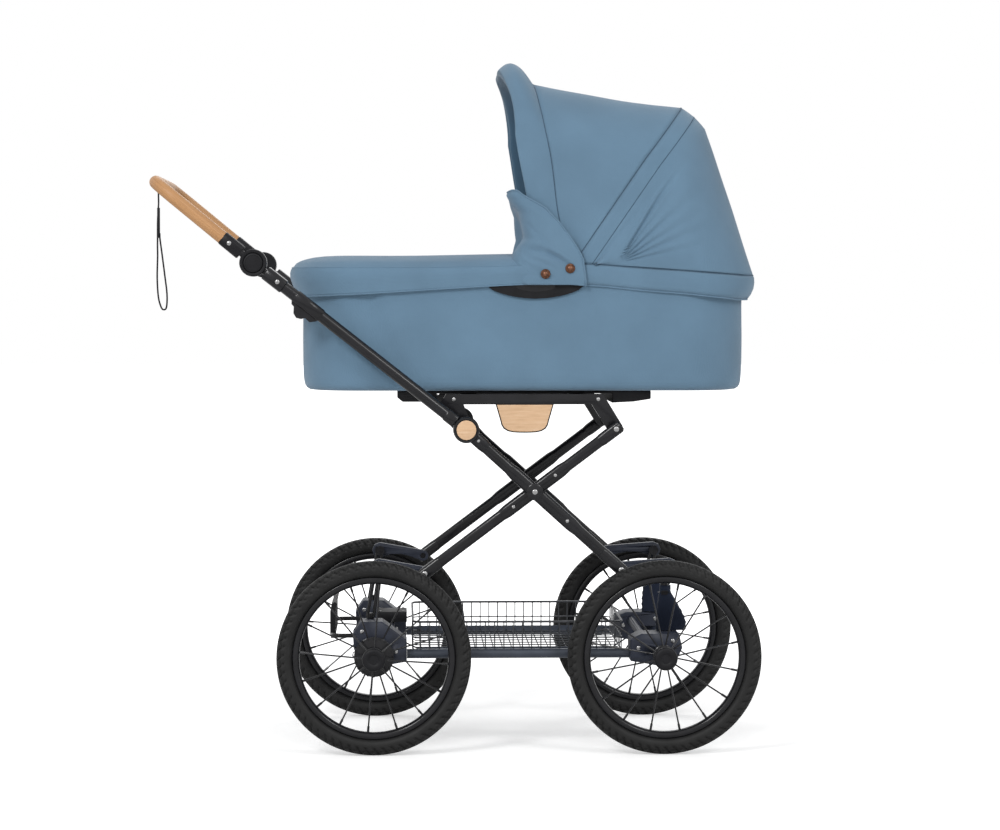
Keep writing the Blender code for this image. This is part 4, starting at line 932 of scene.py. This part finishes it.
def make_seat_plate():
    """The bare wooden plate under the right rail, on a black backing that shows as a thin border."""
    low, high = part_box("side_plate")
    outer, thick = abs(low.y), abs(high.y - low.y)
    centre, half = (low.x + high.x) / 2, (high.x - low.x) / 2
    mid_z = (high.z + low.z) / 2
    arc = [(-0.83, 0.60), (-0.80, 0.73), (-0.72, 0.86), (-0.58, 0.945), (-0.40, 0.985), (-0.2, 0.997),
           (0.0, 1.0)]
    outline = [(1, 0), (-1, 0)] + arc + [(-a, b) for a, b in reversed(arc[:-1])]

    def grown(wide, tall, lift=0.0):
        return [(centre + a * half * wide, mid_z + lift + (lerp(high.z, low.z, b) - mid_z) * tall)
                for a, b in outline]

    shape = bmesh.new()
    block(shape, grown(1.035, 1.04), -(outer - thick + 0.0002), -(outer - 0.0014))
    piece("plate_backing", shape, BLACK_PLASTIC, "seat_frame", bevel=0.0006)
    shape = bmesh.new()
    block(shape, grown(0.985, 0.97, 0.0004), -(outer - 0.0015), -(outer + 0.0002))
    piece("plate_wood", shape, PALE_WOOD, "seat_frame", ["side_plate"], bevel=0.0005)


def make_small_fittings():
    """Screws and rivets on the rails, the brackets and the brake's housing, and the wheel clip."""
    rails, frame_screws, clips = bmesh.new(), bmesh.new(), bmesh.new()
    brackets = ((-AXLE_X + 0.040, 0.185), (-AXLE_X - 0.022, 0.222), (AXLE_X - 0.045, 0.190),
                (AXLE_X + 0.018, 0.203))
    clip = ((-0.2940, 0.1850), (-0.3030, 0.1845), (-0.3040, 0.1780), (-0.2990, 0.1745), (-0.2920, 0.1750))
    for side in SIDES.values():
        for x in (-0.118, 0.148):
            rivet(rails, (x, 0.6455), side * 0.1960, side, 0.0036, 0.0016)
        for spot in brackets:
            rivet(frame_screws, spot, side * 0.2350, side, 0.0040, 0.0018)
            rivet(frame_screws, spot, side * 0.1650, -side, 0.0040, 0.0018)
        sweep(clips, [at(x, side * 0.2385, z) for x, z in clip], oval(0.0012, 0.0012, 8))
        pin(clips, (-0.2935, 0.1848), side * 0.2340, side * 0.2400, 0.0020, 10)
    for x in (-0.255, -0.211):
        for y in (0.067, 0.133):
            rod(frame_screws, at(x, y, 0.2283), at(x, y, 0.2297), 0.0028, 14)
    piece("rail_screws", rails, STEEL, "seat_frame")
    piece("frame_screws", frame_screws, STEEL, "undercarriage")
    piece("wheel_clips", clips, STEEL, "undercarriage")


make_rear_legs()
for side_name, side in SIDES.items():
    make_front_leg(side_name, side)
    make_handle_tube(side_name, side)
    make_tilt_arm(side_name, side)
make_grip()
make_strap()
make_lower()
make_pedal()
make_basket()
make_seat_plate()
make_small_fittings()


# Carrycot
COT_REAR, COT_FRONT, COT_WIDE, COT_CORNER = -0.3955, 0.4205, 0.205, 0.110
COT_LOW, COT_TOP = 0.661, 0.845
# The tub's walls from the bottom up, and down again inside: (rise, growth of the plan)
TUB_OUTSIDE = (
    (0.0, -0.020), (0.0012, -0.0105), (0.0045, -0.0052), (0.0095, -0.0020), (0.017, -0.0003), (0.030, 0.0008),
    (0.060, 0.0016), (0.095, 0.0018), (0.130, 0.0014), (0.155, 0.0008), (0.170, 0.0014), (0.178, 0.0035),
    (0.1835, 0.0043),
)
TUB_INSIDE = ((0.1840, 0.0020), (0.1835, -0.0060), (0.178, -0.0078), (0.060, -0.0078), (0.010, -0.0080))
MATTRESS_SIDE = ((0.012, 0.0), (0.004, 0.10), (0.0, 0.35), (0.0, 0.62), (0.004, 0.86), (0.012, 0.97))


def plan(grow, per_corner=10, per_side=16):
    """A rounded rectangle seen from above, anticlockwise from the front left, with evenly filled sides."""
    arcs = rounded_corners(COT_REAR - grow, COT_FRONT + grow, COT_WIDE + grow, COT_CORNER + grow, per_corner)
    points = []
    for index, arc in enumerate(arcs):
        start, end = arc[-1], arcs[(index + 1) % 4][0]
        steps = per_side if index in (0, 2) else per_side // 3
        points += arc
        points += [(lerp(start[0], end[0], i / steps), lerp(start[1], end[1], i / steps))
                   for i in range(1, steps)]
    return points


def hem_height(x):
    """The apron's and the hood's lower edge, seen from the side."""
    if x < 0.05:
        t = (x + 0.40) / 0.46
        return lerp(0.8335, 0.8575, 0.5 * smooth(t) + 0.5 * clamp(t))
    return lerp(0.8565, 0.8285, clamp((x - 0.10) / 0.32))


def lifted(x, rise):
    """How much the tub's rim rises to stay behind the hems of the apron and the hood."""
    return max(0.0, hem_height(x) + 0.005 - COT_TOP) * smooth((rise - 0.14) / 0.035)


def bump(distance, width):
    """1 at no distance, and fading to 0 on both sides."""
    return math.exp(-(distance / width) ** 2)


def tub_fold(x, z):
    """The soft hollow that runs down the tub's side from under the apron's hem, and the swell behind it."""
    line = -0.298 + 0.42 * (0.838 - z)
    return 0.0046 * bump(x - line + 0.024, 0.024) - 0.0085 * bump(x - line - 0.014, 0.024)


def make_tub():
    shape = bmesh.new()
    rows = []
    for rise, grow in TUB_OUTSIDE:
        row = []
        for x, y in plan(grow, 12, 60):
            out = Vector((x - 0.013, y * 1.6, 0)).normalized()
            ripple = 0.0008 * wobble((x, y, rise * 1.5), 16, 2) + tub_fold(x, COT_LOW + rise)
            ripple *= smooth(rise / 0.03)
            row.append(at(x + out.x * ripple, y + out.y * ripple, COT_LOW + rise + lifted(x, rise)))
        rows.append(row)
    for rise, grow in TUB_INSIDE:
        rows.append([at(x, y, COT_LOW + rise + lifted(x, rise)) for x, y in plan(grow, 12, 60)])
    capped(shape, rows)
    piece("cot_cover", shape, FABRIC, "cot", ["cot_tub"], sharp=60)


def make_mattress():
    shape = bmesh.new()
    low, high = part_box("mattress")
    thick = high.z - low.z
    rows = [[at(x, y, low.z + level * thick) for x, y in plan(-0.0185 - inset)]
            for inset, level in MATTRESS_SIDE]
    centre_x = (COT_REAR + COT_FRONT) / 2
    for ring in (0.93, 0.84, 0.72, 0.58, 0.44, 0.30, 0.16, 0.06):
        row = []
        for x, y in plan(-0.0305):
            px, py = centre_x + (x - centre_x) * ring, y * ring
            quilt = 0.5 + 0.5 * math.cos(px * 70) * math.cos(py * 70)
            row.append(at(px, py, low.z + thick * (0.985 + 0.03 * (1 - ring)) - 0.0030 * (1 - quilt)))
        rows.append(row)
    capped(shape, rows)
    pad = piece("mattress_pad", shape, TICKING, "cot", ["mattress"], sharp=180)


def make_half_moons():
    """The black plate that shows under the hems on each side, with its recess."""
    left, right, top, bottom = MID_X - 0.058, MID_X + 0.121, 0.866, 0.8305
    arc = [(lerp(left, right, i / 16), lerp(0.8545, bottom, math.sin(math.pi * i / 16) ** 0.62))
           for i in range(17)]
    inner = [(lerp(left, right, 0.30 + 0.4 * i / 10), 0.8500 - 0.0075 * math.sin(math.pi * i / 10) ** 0.7)
             for i in range(11)]
    for side_name, side in SIDES.items():
        shape = bmesh.new()
        block(shape, [(right, top), (left, top)] + arc, side * 0.2097, side * 0.2110)
        rim = [(inner[-1][0], top - 0.002), (inner[0][0], top - 0.002)]
        block(shape, rim + inner, side * 0.2109, side * 0.2116, 1)
        piece(f"side_recess_{side_name}", shape, [BLACK_PLASTIC, BLACK_PAINT], "cot", bevel=0.0004)


# Apron and windshield flap
# (share of the height, bulge) up the apron's side, and (share of the width) over its top
APRON_SIDE = ((0.0, 0.0), (0.10, 0.0010), (0.25, 0.0018), (0.45, 0.0034), (0.65, 0.0046), (0.82, 0.0044),
              (0.93, 0.0026), (1.0, 0.0))
APRON_RINGS = (0.985, 0.955, 0.91, 0.85, 0.76, 0.65, 0.52, 0.38, 0.22, 0.08, 0.0)


def apron_outline(grow):
    """Half of the apron's plan, from the front edge on one side round to the middle of the rear."""
    rear, corner, wide = COT_REAR - grow - 0.0055, COT_CORNER + grow * 0.4, COT_WIDE + grow
    points = [(lerp(0.062, rear + corner, i / 26), wide) for i in range(26)]
    points += [(rear + corner - corner * math.sin(t), wide - corner + corner * math.cos(t))
               for t in quarter(14)]
    return points + [(rear, lerp(wide - corner, 0.0, i / 5)) for i in range(1, 6)]


def apron_top(x):
    return 0.8875 + 0.0040 * smooth((x + 0.2) / 0.25)


def rearness(x):
    """0 along the apron's sides and 1 at its rear end."""
    return smooth((-0.30 - x) / 0.10)


def make_apron():
    half = apron_outline(0.0088)
    outline = [(x, -y) for x, y in half] + [(x, y) for x, y in reversed(half[:-1])]
    rows = []
    for share, bulge in APRON_SIDE:
        row = []
        for i, (x, y) in enumerate(outline):
            out = Vector((min(0.0, x + 0.30) * 3.2, y, 0)).normalized()
            z = lerp(hem_height(x), apron_top(x), share)
            gather = 0.0009 * math.sin(i * 2.3 + 4 * wobble((x, y, 0), 9)) * rearness(x) * share
            puff = bulge + 0.0070 * rearness(x) * smooth(share * 1.3) + gather
            puff += 0.0012 * wobble((x, y, z), 11, 5)
            row.append(at(x + out.x * puff, y + out.y * min(puff, 0.0065), z))
        rows.append(row)
    spine_end = COT_REAR + 0.1457
    for ring in APRON_RINGS:
        row = []
        for x, y in outline:
            px, py = lerp(max(x, spine_end), x, ring), y * ring
            rise = (1 - ring ** 6) * 0.0180 + 0.0048 * smooth((1 - ring) / 0.06)
            sag = 0.0016 * wobble((px, py, 0), 7, 3) * (1 - ring * 0.6)
            row.append(at(px - 0.0070 * rearness(x) * ring, py, apron_top(x) + rise + sag))
        rows.append(row)
    shape = bmesh.new()
    skin(shape, rows)
    bmesh.ops.remove_doubles(shape, verts=shape.verts, dist=0.0001)
    face_out(shape, at(-0.17, 0, 0.78))
    sheet_piece("apron_cover", shape, "cot", ["apron"])
    seam("apron_seam", rows[len(APRON_SIDE) - 1], 0.0011, FABRIC, "cot")
    seam("apron_hem", [p + Vector((0, 0, 0.0008)) for p in rows[0]], 0.0013, FABRIC, "cot")
    edge = [row[0] for row in rows] + [row[-1] for row in reversed(rows[:-1])]
    seam("apron_front_edge", edge, 0.0012, FABRIC, "cot")


# The flap's plan (x, y), its top edge and crease as (x, z), and its lean as (share of the rise, x)
FLAP_PATH = (
    (0.1235, -0.2190), (0.105, -0.2194), (0.080, -0.2196), (0.055, -0.2192), (0.034, -0.2165),
    (0.020, -0.2080), (0.0125, -0.1950), (0.010, -0.1750), (0.009, -0.1150), (0.0085, -0.0600), (0.0085, 0.0),
)
FLAP_TOP = (
    (0.1235, 0.868), (0.119, 0.9023), (0.1099, 0.9206), (0.0943, 0.9444), (0.0732, 0.9719), (0.0457, 0.9967),
    (0.0182, 1.0141), (0.0036, 1.0256), (-0.0050, 1.0290), (-0.0120, 1.0290), (-0.0180, 1.0262),
    (-0.0210, 1.0220),
)
FLAP_LEAN = ((0.0, 0.0), (0.25, 0.015), (0.45, 0.014), (0.60, 0.010), (0.80, -0.004), (1.0, -0.012))
EAR_LEAN = ((0.0, -0.022), (0.10, -0.018), (0.20, -0.0095), (0.33, 0.0025), (0.55, -0.003), (0.68, -0.0067),
            (0.82, -0.0225), (0.93, -0.0310), (1.0, -0.0290))
FLAP_CREASE = ((0.010, 0.9206), (0.045, 0.9188), (0.0605, 0.9115), (0.075, 0.903), (0.095, 0.891))
# The flap's small folds: (slope, height, depth, width)
FLAP_FOLDS = ((-0.60, 0.9085, 0.0022, 0.0035), (-0.95, 0.8960, 0.0022, 0.0035),
              (-0.20, 0.8770, 0.0014, 0.0030), (-1.3, 0.9520, 0.0016, 0.0060))
FLAP_ROWS = 44


def from_table(table, x):
    """A value read between the points of a short table, either way round."""
    points = sorted(table)
    if x <= points[0][0]:
        return points[0][1]
    for (x0, v0), (x1, v1) in zip(points, points[1:]):
        if x <= x1:
            return lerp(v0, v1, (x - x0) / (x1 - x0))
    return points[-1][1]


def spread_path(points, count):
    """Points evenly spread along a smooth curve through these ones."""
    fine = curve_through([Vector(p) for p in points], 10)
    lengths = [0.0]
    for a, b in zip(fine, fine[1:]):
        lengths.append(lengths[-1] + (b - a).length)
    result, index = [], 0
    for i in range(count):
        goal = lengths[-1] * i / (count - 1)
        while index < len(fine) - 2 and lengths[index + 1] < goal:
            index += 1
        span = lengths[index + 1] - lengths[index]
        result.append(fine[index].lerp(fine[index + 1], (goal - lengths[index]) / span if span else 0))
    return result


def flap_point(x, y, t):
    """A point of the flap, from its plan and its share of the way up."""
    side, share = (-1, 1.0) if y < 0 else (1, 0.45)
    inner = smooth((0.2165 - abs(y)) / 0.05)
    low = lerp(hem_height(max(x, 0.05)) - 0.0010, 0.9010, max(inner, smooth((0.032 - x) / 0.022)))
    ear = smooth((abs(y) - 0.13) / 0.05) * smooth((0.066 - x) / 0.045)
    z = lerp(low, from_table(FLAP_TOP, x + EAR_LEAN[-1][1] * ear * share), t)
    rise = clamp((z - 0.901) / 0.127)
    upright = from_table(FLAP_LEAN, rise) * smooth((0.06 - x) / 0.05)
    lean = lerp(upright, from_table(EAR_LEAN, rise) * share, ear)
    near = smooth((x - 0.005) / 0.02) * smooth((0.105 - x) / 0.03) * (1 - inner)
    above = (z - from_table(FLAP_CREASE, x)) / 0.0045
    fold = 0.0048 * bump(above, 1) - 0.0030 * bump(above - 2.2, 1)
    for slope, where, deep, wide in FLAP_FOLDS:
        fold += deep * bump(z - (where + slope * (x - 0.030)), wide) * smooth((0.075 - x) / 0.02)
    puff = 0.0018 * wobble((x, y, z), 19, 4) - fold * near + 0.0022 * math.sin(math.pi * min(1, t * 1.1))
    out = Vector((-inner, side * (1 - inner), 0)).normalized()
    return at(x + lean + out.x * puff, y + out.y * puff, z)


def make_flap():
    half = spread_path([(x, y, 0) for x, y in FLAP_PATH], 64)
    columns = [(p.x, p.y) for p in half] + [(p.x, -p.y) for p in reversed(half[:-1])]
    rows = [[flap_point(x, y, i / FLAP_ROWS) for x, y in columns] for i in range(FLAP_ROWS + 1)]
    shape = bmesh.new()
    skin(shape, rows)
    face_out(shape, at(0.16, 0, 0.93))
    sheet_piece("windshield_flap", shape, "cot", thickness=0.0024)
    edge = [row[0] for row in rows] + rows[-1][1:-1] + [row[-1] for row in reversed(rows)]
    seam("flap_edge", edge, 0.0014, FABRIC, "cot")


def make_press_studs():
    shape = bmesh.new()
    stud = [(0.0, 0.0), (0.0088, 0.0), (0.0090, 0.0014), (0.0080, 0.0026), (0.0068, 0.0027), (0.0060, 0.0020),
            (0.0052, 0.0021), (0.0040, 0.0034), (0.0020, 0.0041), (0.0, 0.0043)]
    for side in SIDES.values():
        for x, z in ((0.0494, 0.8757), (0.0946, 0.8858)):
            lathe(shape, stud, at(x, side * 0.2208, z), side, 32)
    piece("press_studs", shape, BRONZE, "cot")


make_tub()
make_mattress()
make_half_moons()
make_apron()
make_flap()
make_press_studs()


# Hood
HOOD_FOOT = (0.1000, 0.8930)
HOOD_INSIDE = at(0.14, 0, 0.95)
HOOD_WIDE = 0.2085
ARCH_SIDE, ARCH_TURN, ARCH_TOP = 34, 18, 8


def outward(point, forward=0.0):
    """The way out of the hood at a point of its cloth."""
    return Vector((forward, point.y, point.z - HOOD_INSIDE.z)).normalized()


def hood_row(foot, side_point, top, wide, corner, bend=0.0, crown=0.002, hook=1.0):
    """One line of cloth from the foot on the right, up the side, over the top and down the left.
    Foot, side point and top are (x, z) seen from the side. Bend bows the side stretch towards the front, and
    a hook above 1 keeps the arch's forward reach for its top."""
    half = []
    for i in range(ARCH_SIDE):
        t = i / ARCH_SIDE
        bow = bend * math.sin(math.pi * t) * (1 - t)
        half.append((lerp(foot[0], side_point[0], t) - bow, wide, lerp(foot[1], side_point[1], t)))
    for turn in quarter(ARCH_TURN):
        share = math.sin(turn)
        half.append((lerp(side_point[0], top[0], share ** hook), wide - corner * (1 - math.cos(turn)),
                     lerp(side_point[1], top[1], share)))
    for i in range(1, ARCH_TOP + 1):
        t = i / ARCH_TOP
        half.append((top[0], (wide - corner) * (1 - t), top[1] + crown * math.sin(math.pi / 2 * t)))
    return mirrored(half)


def rim_row(grow, z_side, z_front, start=0.117):
    """The hood's lower seam, along both sides and round the front, with as many points as an arch."""
    corner, wide, front = 0.118 + grow, 0.2118 + grow, 0.4445 + grow
    half = [(lerp(start, front - corner, i / ARCH_SIDE), wide) for i in range(ARCH_SIDE)]
    half += [(front - corner + corner * math.sin(t), wide - corner + corner * math.cos(t))
             for t in quarter(ARCH_TURN)]
    half += [(front, (wide - corner) * (1 - i / ARCH_TOP)) for i in range(1, ARCH_TOP + 1)]
    return mirrored([(x, y, lerp(z_side, z_front, min(1.0, (x - start) / 0.30))) for x, y in half])


def blend_rows(low, high, count, sag):
    """Rows between two lines of cloth. Sag pulls the middle rows towards the inside of the hood."""
    rows = []
    for i in range(count + 1):
        t = i / count
        points = [a.lerp(b, t) for a, b in zip(low, high)]
        rows.append([point - outward(point) * sag * math.sin(math.pi * t) for point in points])
    return rows


def ruffle(rows, depth, scale, seed):
    """Soft unevenness in a sheet of cloth, none at its first and last rows."""
    last = len(rows) - 1
    for i, row in enumerate(rows):
        hold = smooth(min(i, last - i) / max(1, last * 0.25))
        row[:] = [point + outward(point) * depth * hold * wobble(point, scale, seed) for point in row]
    return rows


def panel(name, rows, body, nodes):
    shape = bmesh.new()
    skin(shape, rows)
    face_out(shape, HOOD_INSIDE)
    return sheet_piece(name, shape, body, nodes)


# The lines of the hood's seams: at its front bow, at its rear bow, and the two behind that one
front_line = hood_row((0.104, 0.8930), (0.0550, 1.1130), (0.0310, 1.2295), HOOD_WIDE, 0.12, 0.018)
rear_line = hood_row(HOOD_FOOT, (0.2344, 1.0881), (0.3085, 1.1862), HOOD_WIDE, 0.12)
seam_line = hood_row((0.1350, 0.8930), (0.2619, 1.0770), (0.3325, 1.1693), HOOD_WIDE, 0.12)
bump_line = hood_row((0.1410, 0.8930), (0.2770, 1.0600), (0.3530, 1.1465), HOOD_WIDE, 0.12)


def make_front_panel():
    rows = ruffle(blend_rows(rear_line, front_line, 22, 0.0045), 0.0022, 9, 3)
    made = panel("hood_front_cloth", rows, None, ["hood_front_panel"])
    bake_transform(made)


# The folds that spread from the hood's pivot: (angle, width, depth, reach)
FAN = (0.1818, 0.8960)
FAN_FOLDS = ((57, 1.7, 0.0058, 0.230), (50, 2.6, 0.0042, 0.120), (41, 2.9, 0.0044, 0.150),
             (31, 3.0, 0.0040, 0.120), (22, 2.8, 0.0034, 0.150), (12, 2.4, 0.0028, 0.120))
BACK_ROWS = 60


def fan_fold(x, z):
    """The depth of the folds at a point of the hood's side."""
    turn = math.degrees(math.atan2(z - FAN[1], x - FAN[0]))
    reach = math.hypot(x - FAN[0], z - FAN[1])
    depth = 0.0
    for angle, width, deep, far in FAN_FOLDS:
        off = (turn - angle) / width
        depth += deep * (bump(off, 1) - 0.6 * bump(off - 1.9, 1)) * bump(reach, far)
    return depth * smooth(reach / 0.035)


def make_rear_panel():
    rim = rim_row(-0.0008, 0.8945, 0.8735, start=0.141)
    back = blend_rows(bump_line, rim, BACK_ROWS, -0.0050)
    for i, row in enumerate(back):
        t = i / BACK_ROWS
        for j, point in enumerate(row):
            side = -1 if point.y < 0 else 1
            hold = smooth(t * 9) * smooth((1 - t) * 9) * smooth((abs(point.y) - 0.10) / 0.08)
            row[j] = point - Vector((0, side * hold * fan_fold(point.x - MID_X, point.z), 0))
    rows = blend_rows(rear_line, seam_line, 3, -0.0008) + blend_rows(seam_line, bump_line, 3, -0.0010)[1:]
    rows += ruffle(back, 0.0026, 10, 7)[1:]
    made = panel("hood_rear_cloth", rows, None, ["hood_rear_panel"])
    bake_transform(made)


def make_rim_band():
    """The band round the hood's foot, from (share of the way down, growth) pairs."""
    front = MID_X + 0.33
    rows = []
    for share, grow in ((0.0, -0.0010), (0.10, 0.0012), (0.30, 0.0022), (0.55, 0.0024), (0.80, 0.0012),
                        (1.0, -0.0010)):
        tuck = -0.011 * share ** 2.5
        pairs = zip(rim_row(grow, 0.8945, 0.8735), rim_row(grow, 0.8560, 0.8285))
        rows.append([p + Vector((tuck * smooth((p.x - front) / 0.11), 0, 0.0009 * wobble(p, 14, 2)))
                     for p in (a.lerp(b, share) for a, b in pairs)])
    panel("hood_rim_band", rows, "cot", [])
    # The rim seam's welt is darker than the cloth: painted shade along the seam
    seam("hood_rim_seam", rows[0], 0.0010, SEAM_SHADE_THREAD, "cot")
    seam("hood_hem", rows[-1], 0.0014, FABRIC, "cot")


def make_visor():
    """The hood's brim, out and back in underneath, from seven lines and the rows of cloth after each."""
    keys = (
        (front_line, 6),
        (hood_row((0.085, 0.906), (0.0400, 1.1250), (0.0090, 1.2590), 0.2110, 0.125, 0.010), 6),
        (hood_row((0.052, 0.905), (0.0150, 1.1350), (-0.0115, 1.2690), 0.2120, 0.13, hook=1.6), 4),
        (hood_row((0.035, 0.905), (-0.0045, 1.1300), (-0.0290, 1.2580), 0.2095, 0.13, hook=2.0), 4),
        (hood_row((0.037, 0.905), (-0.0020, 1.1270), (-0.0325, 1.2485), 0.2045, 0.13, hook=2.4), 4),
        (hood_row((0.043, 0.905), (0.0040, 1.1200), (-0.0215, 1.2385), 0.1990, 0.125, hook=2.2), 4),
        (hood_row((0.090, 0.905), (0.0400, 1.1080), (0.0260, 1.2200), 0.1985, 0.12, 0.010), 1),
    )
    lines = [line for line, _ in keys]
    rows = [[curve_point(four, i / steps) for four in zip(*neighbours(lines, index))]
            for index, (_, steps) in enumerate(keys) for i in range(steps)]
    for i, row in enumerate(rows):
        hold = smooth(i / 3)
        row[:] = [point + outward(point, -0.3) * 0.0020 * hold * wobble(point, 16, 9) for point in row]
    # The lining starts one row inside the brim's edge
    lining_from = 6 + 6 + 4 + 1
    shape = bmesh.new()
    skin(shape, rows)
    for index, face in enumerate(shape.faces):
        face.material_index = int(index // (len(rows[0]) - 1) >= lining_from)
    face_out(shape, at(0.02, 0, 0.95), 0)
    sheet_piece("hood_brim", shape, "hood_front_bow", ["hood_visor"], 0.0012, 0)
    # The front seam's welt is darker than the cloth: painted shade along the seam
    seam("hood_front_seam", front_line, 0.0009, SEAM_SHADE_THREAD, "hood_front_bow")


def make_tab():
    shape = bmesh.new()
    tab = at(-0.0215, -0.098, 1.2470)
    corners = ((-0.0025, -0.006), (0.0030, -0.008), (0.0045, 0.004), (-0.0010, 0.006))
    block(shape, [(tab.x + dx, tab.z + dz) for dx, dz in corners], tab.y - 0.012, tab.y + 0.012)
    piece("brim_tab", shape, LEATHER, "hood_front_bow", bevel=0.0008)


def make_bow(name, line, body):
    """A steel bow that follows a seam, just inside the cloth."""
    shape = bmesh.new()
    sweep(shape, [p - outward(p) * 0.0068 for p in line[4:-4]], oval(0.0030, 0.0030, 12), (1, 0, 0), 0.001)
    piece(name, shape, BLACK_PAINT, body, [body])


make_bow("front_bow_rod", front_line, "hood_front_bow")
make_bow("rear_bow_rod", rear_line, "hood_rear_bow")
make_front_panel()
make_rear_panel()
make_rim_band()
make_visor()
make_tab()
# The rear seams' welts are darker than the cloth: painted shade along the seams
seam("hood_rear_seam", rear_line, 0.0009, SEAM_SHADE_THREAD, "hood_rear_bow")
seam("hood_back_seam", seam_line, 0.0008, SEAM_SHADE_THREAD, "hood_rear_bow")
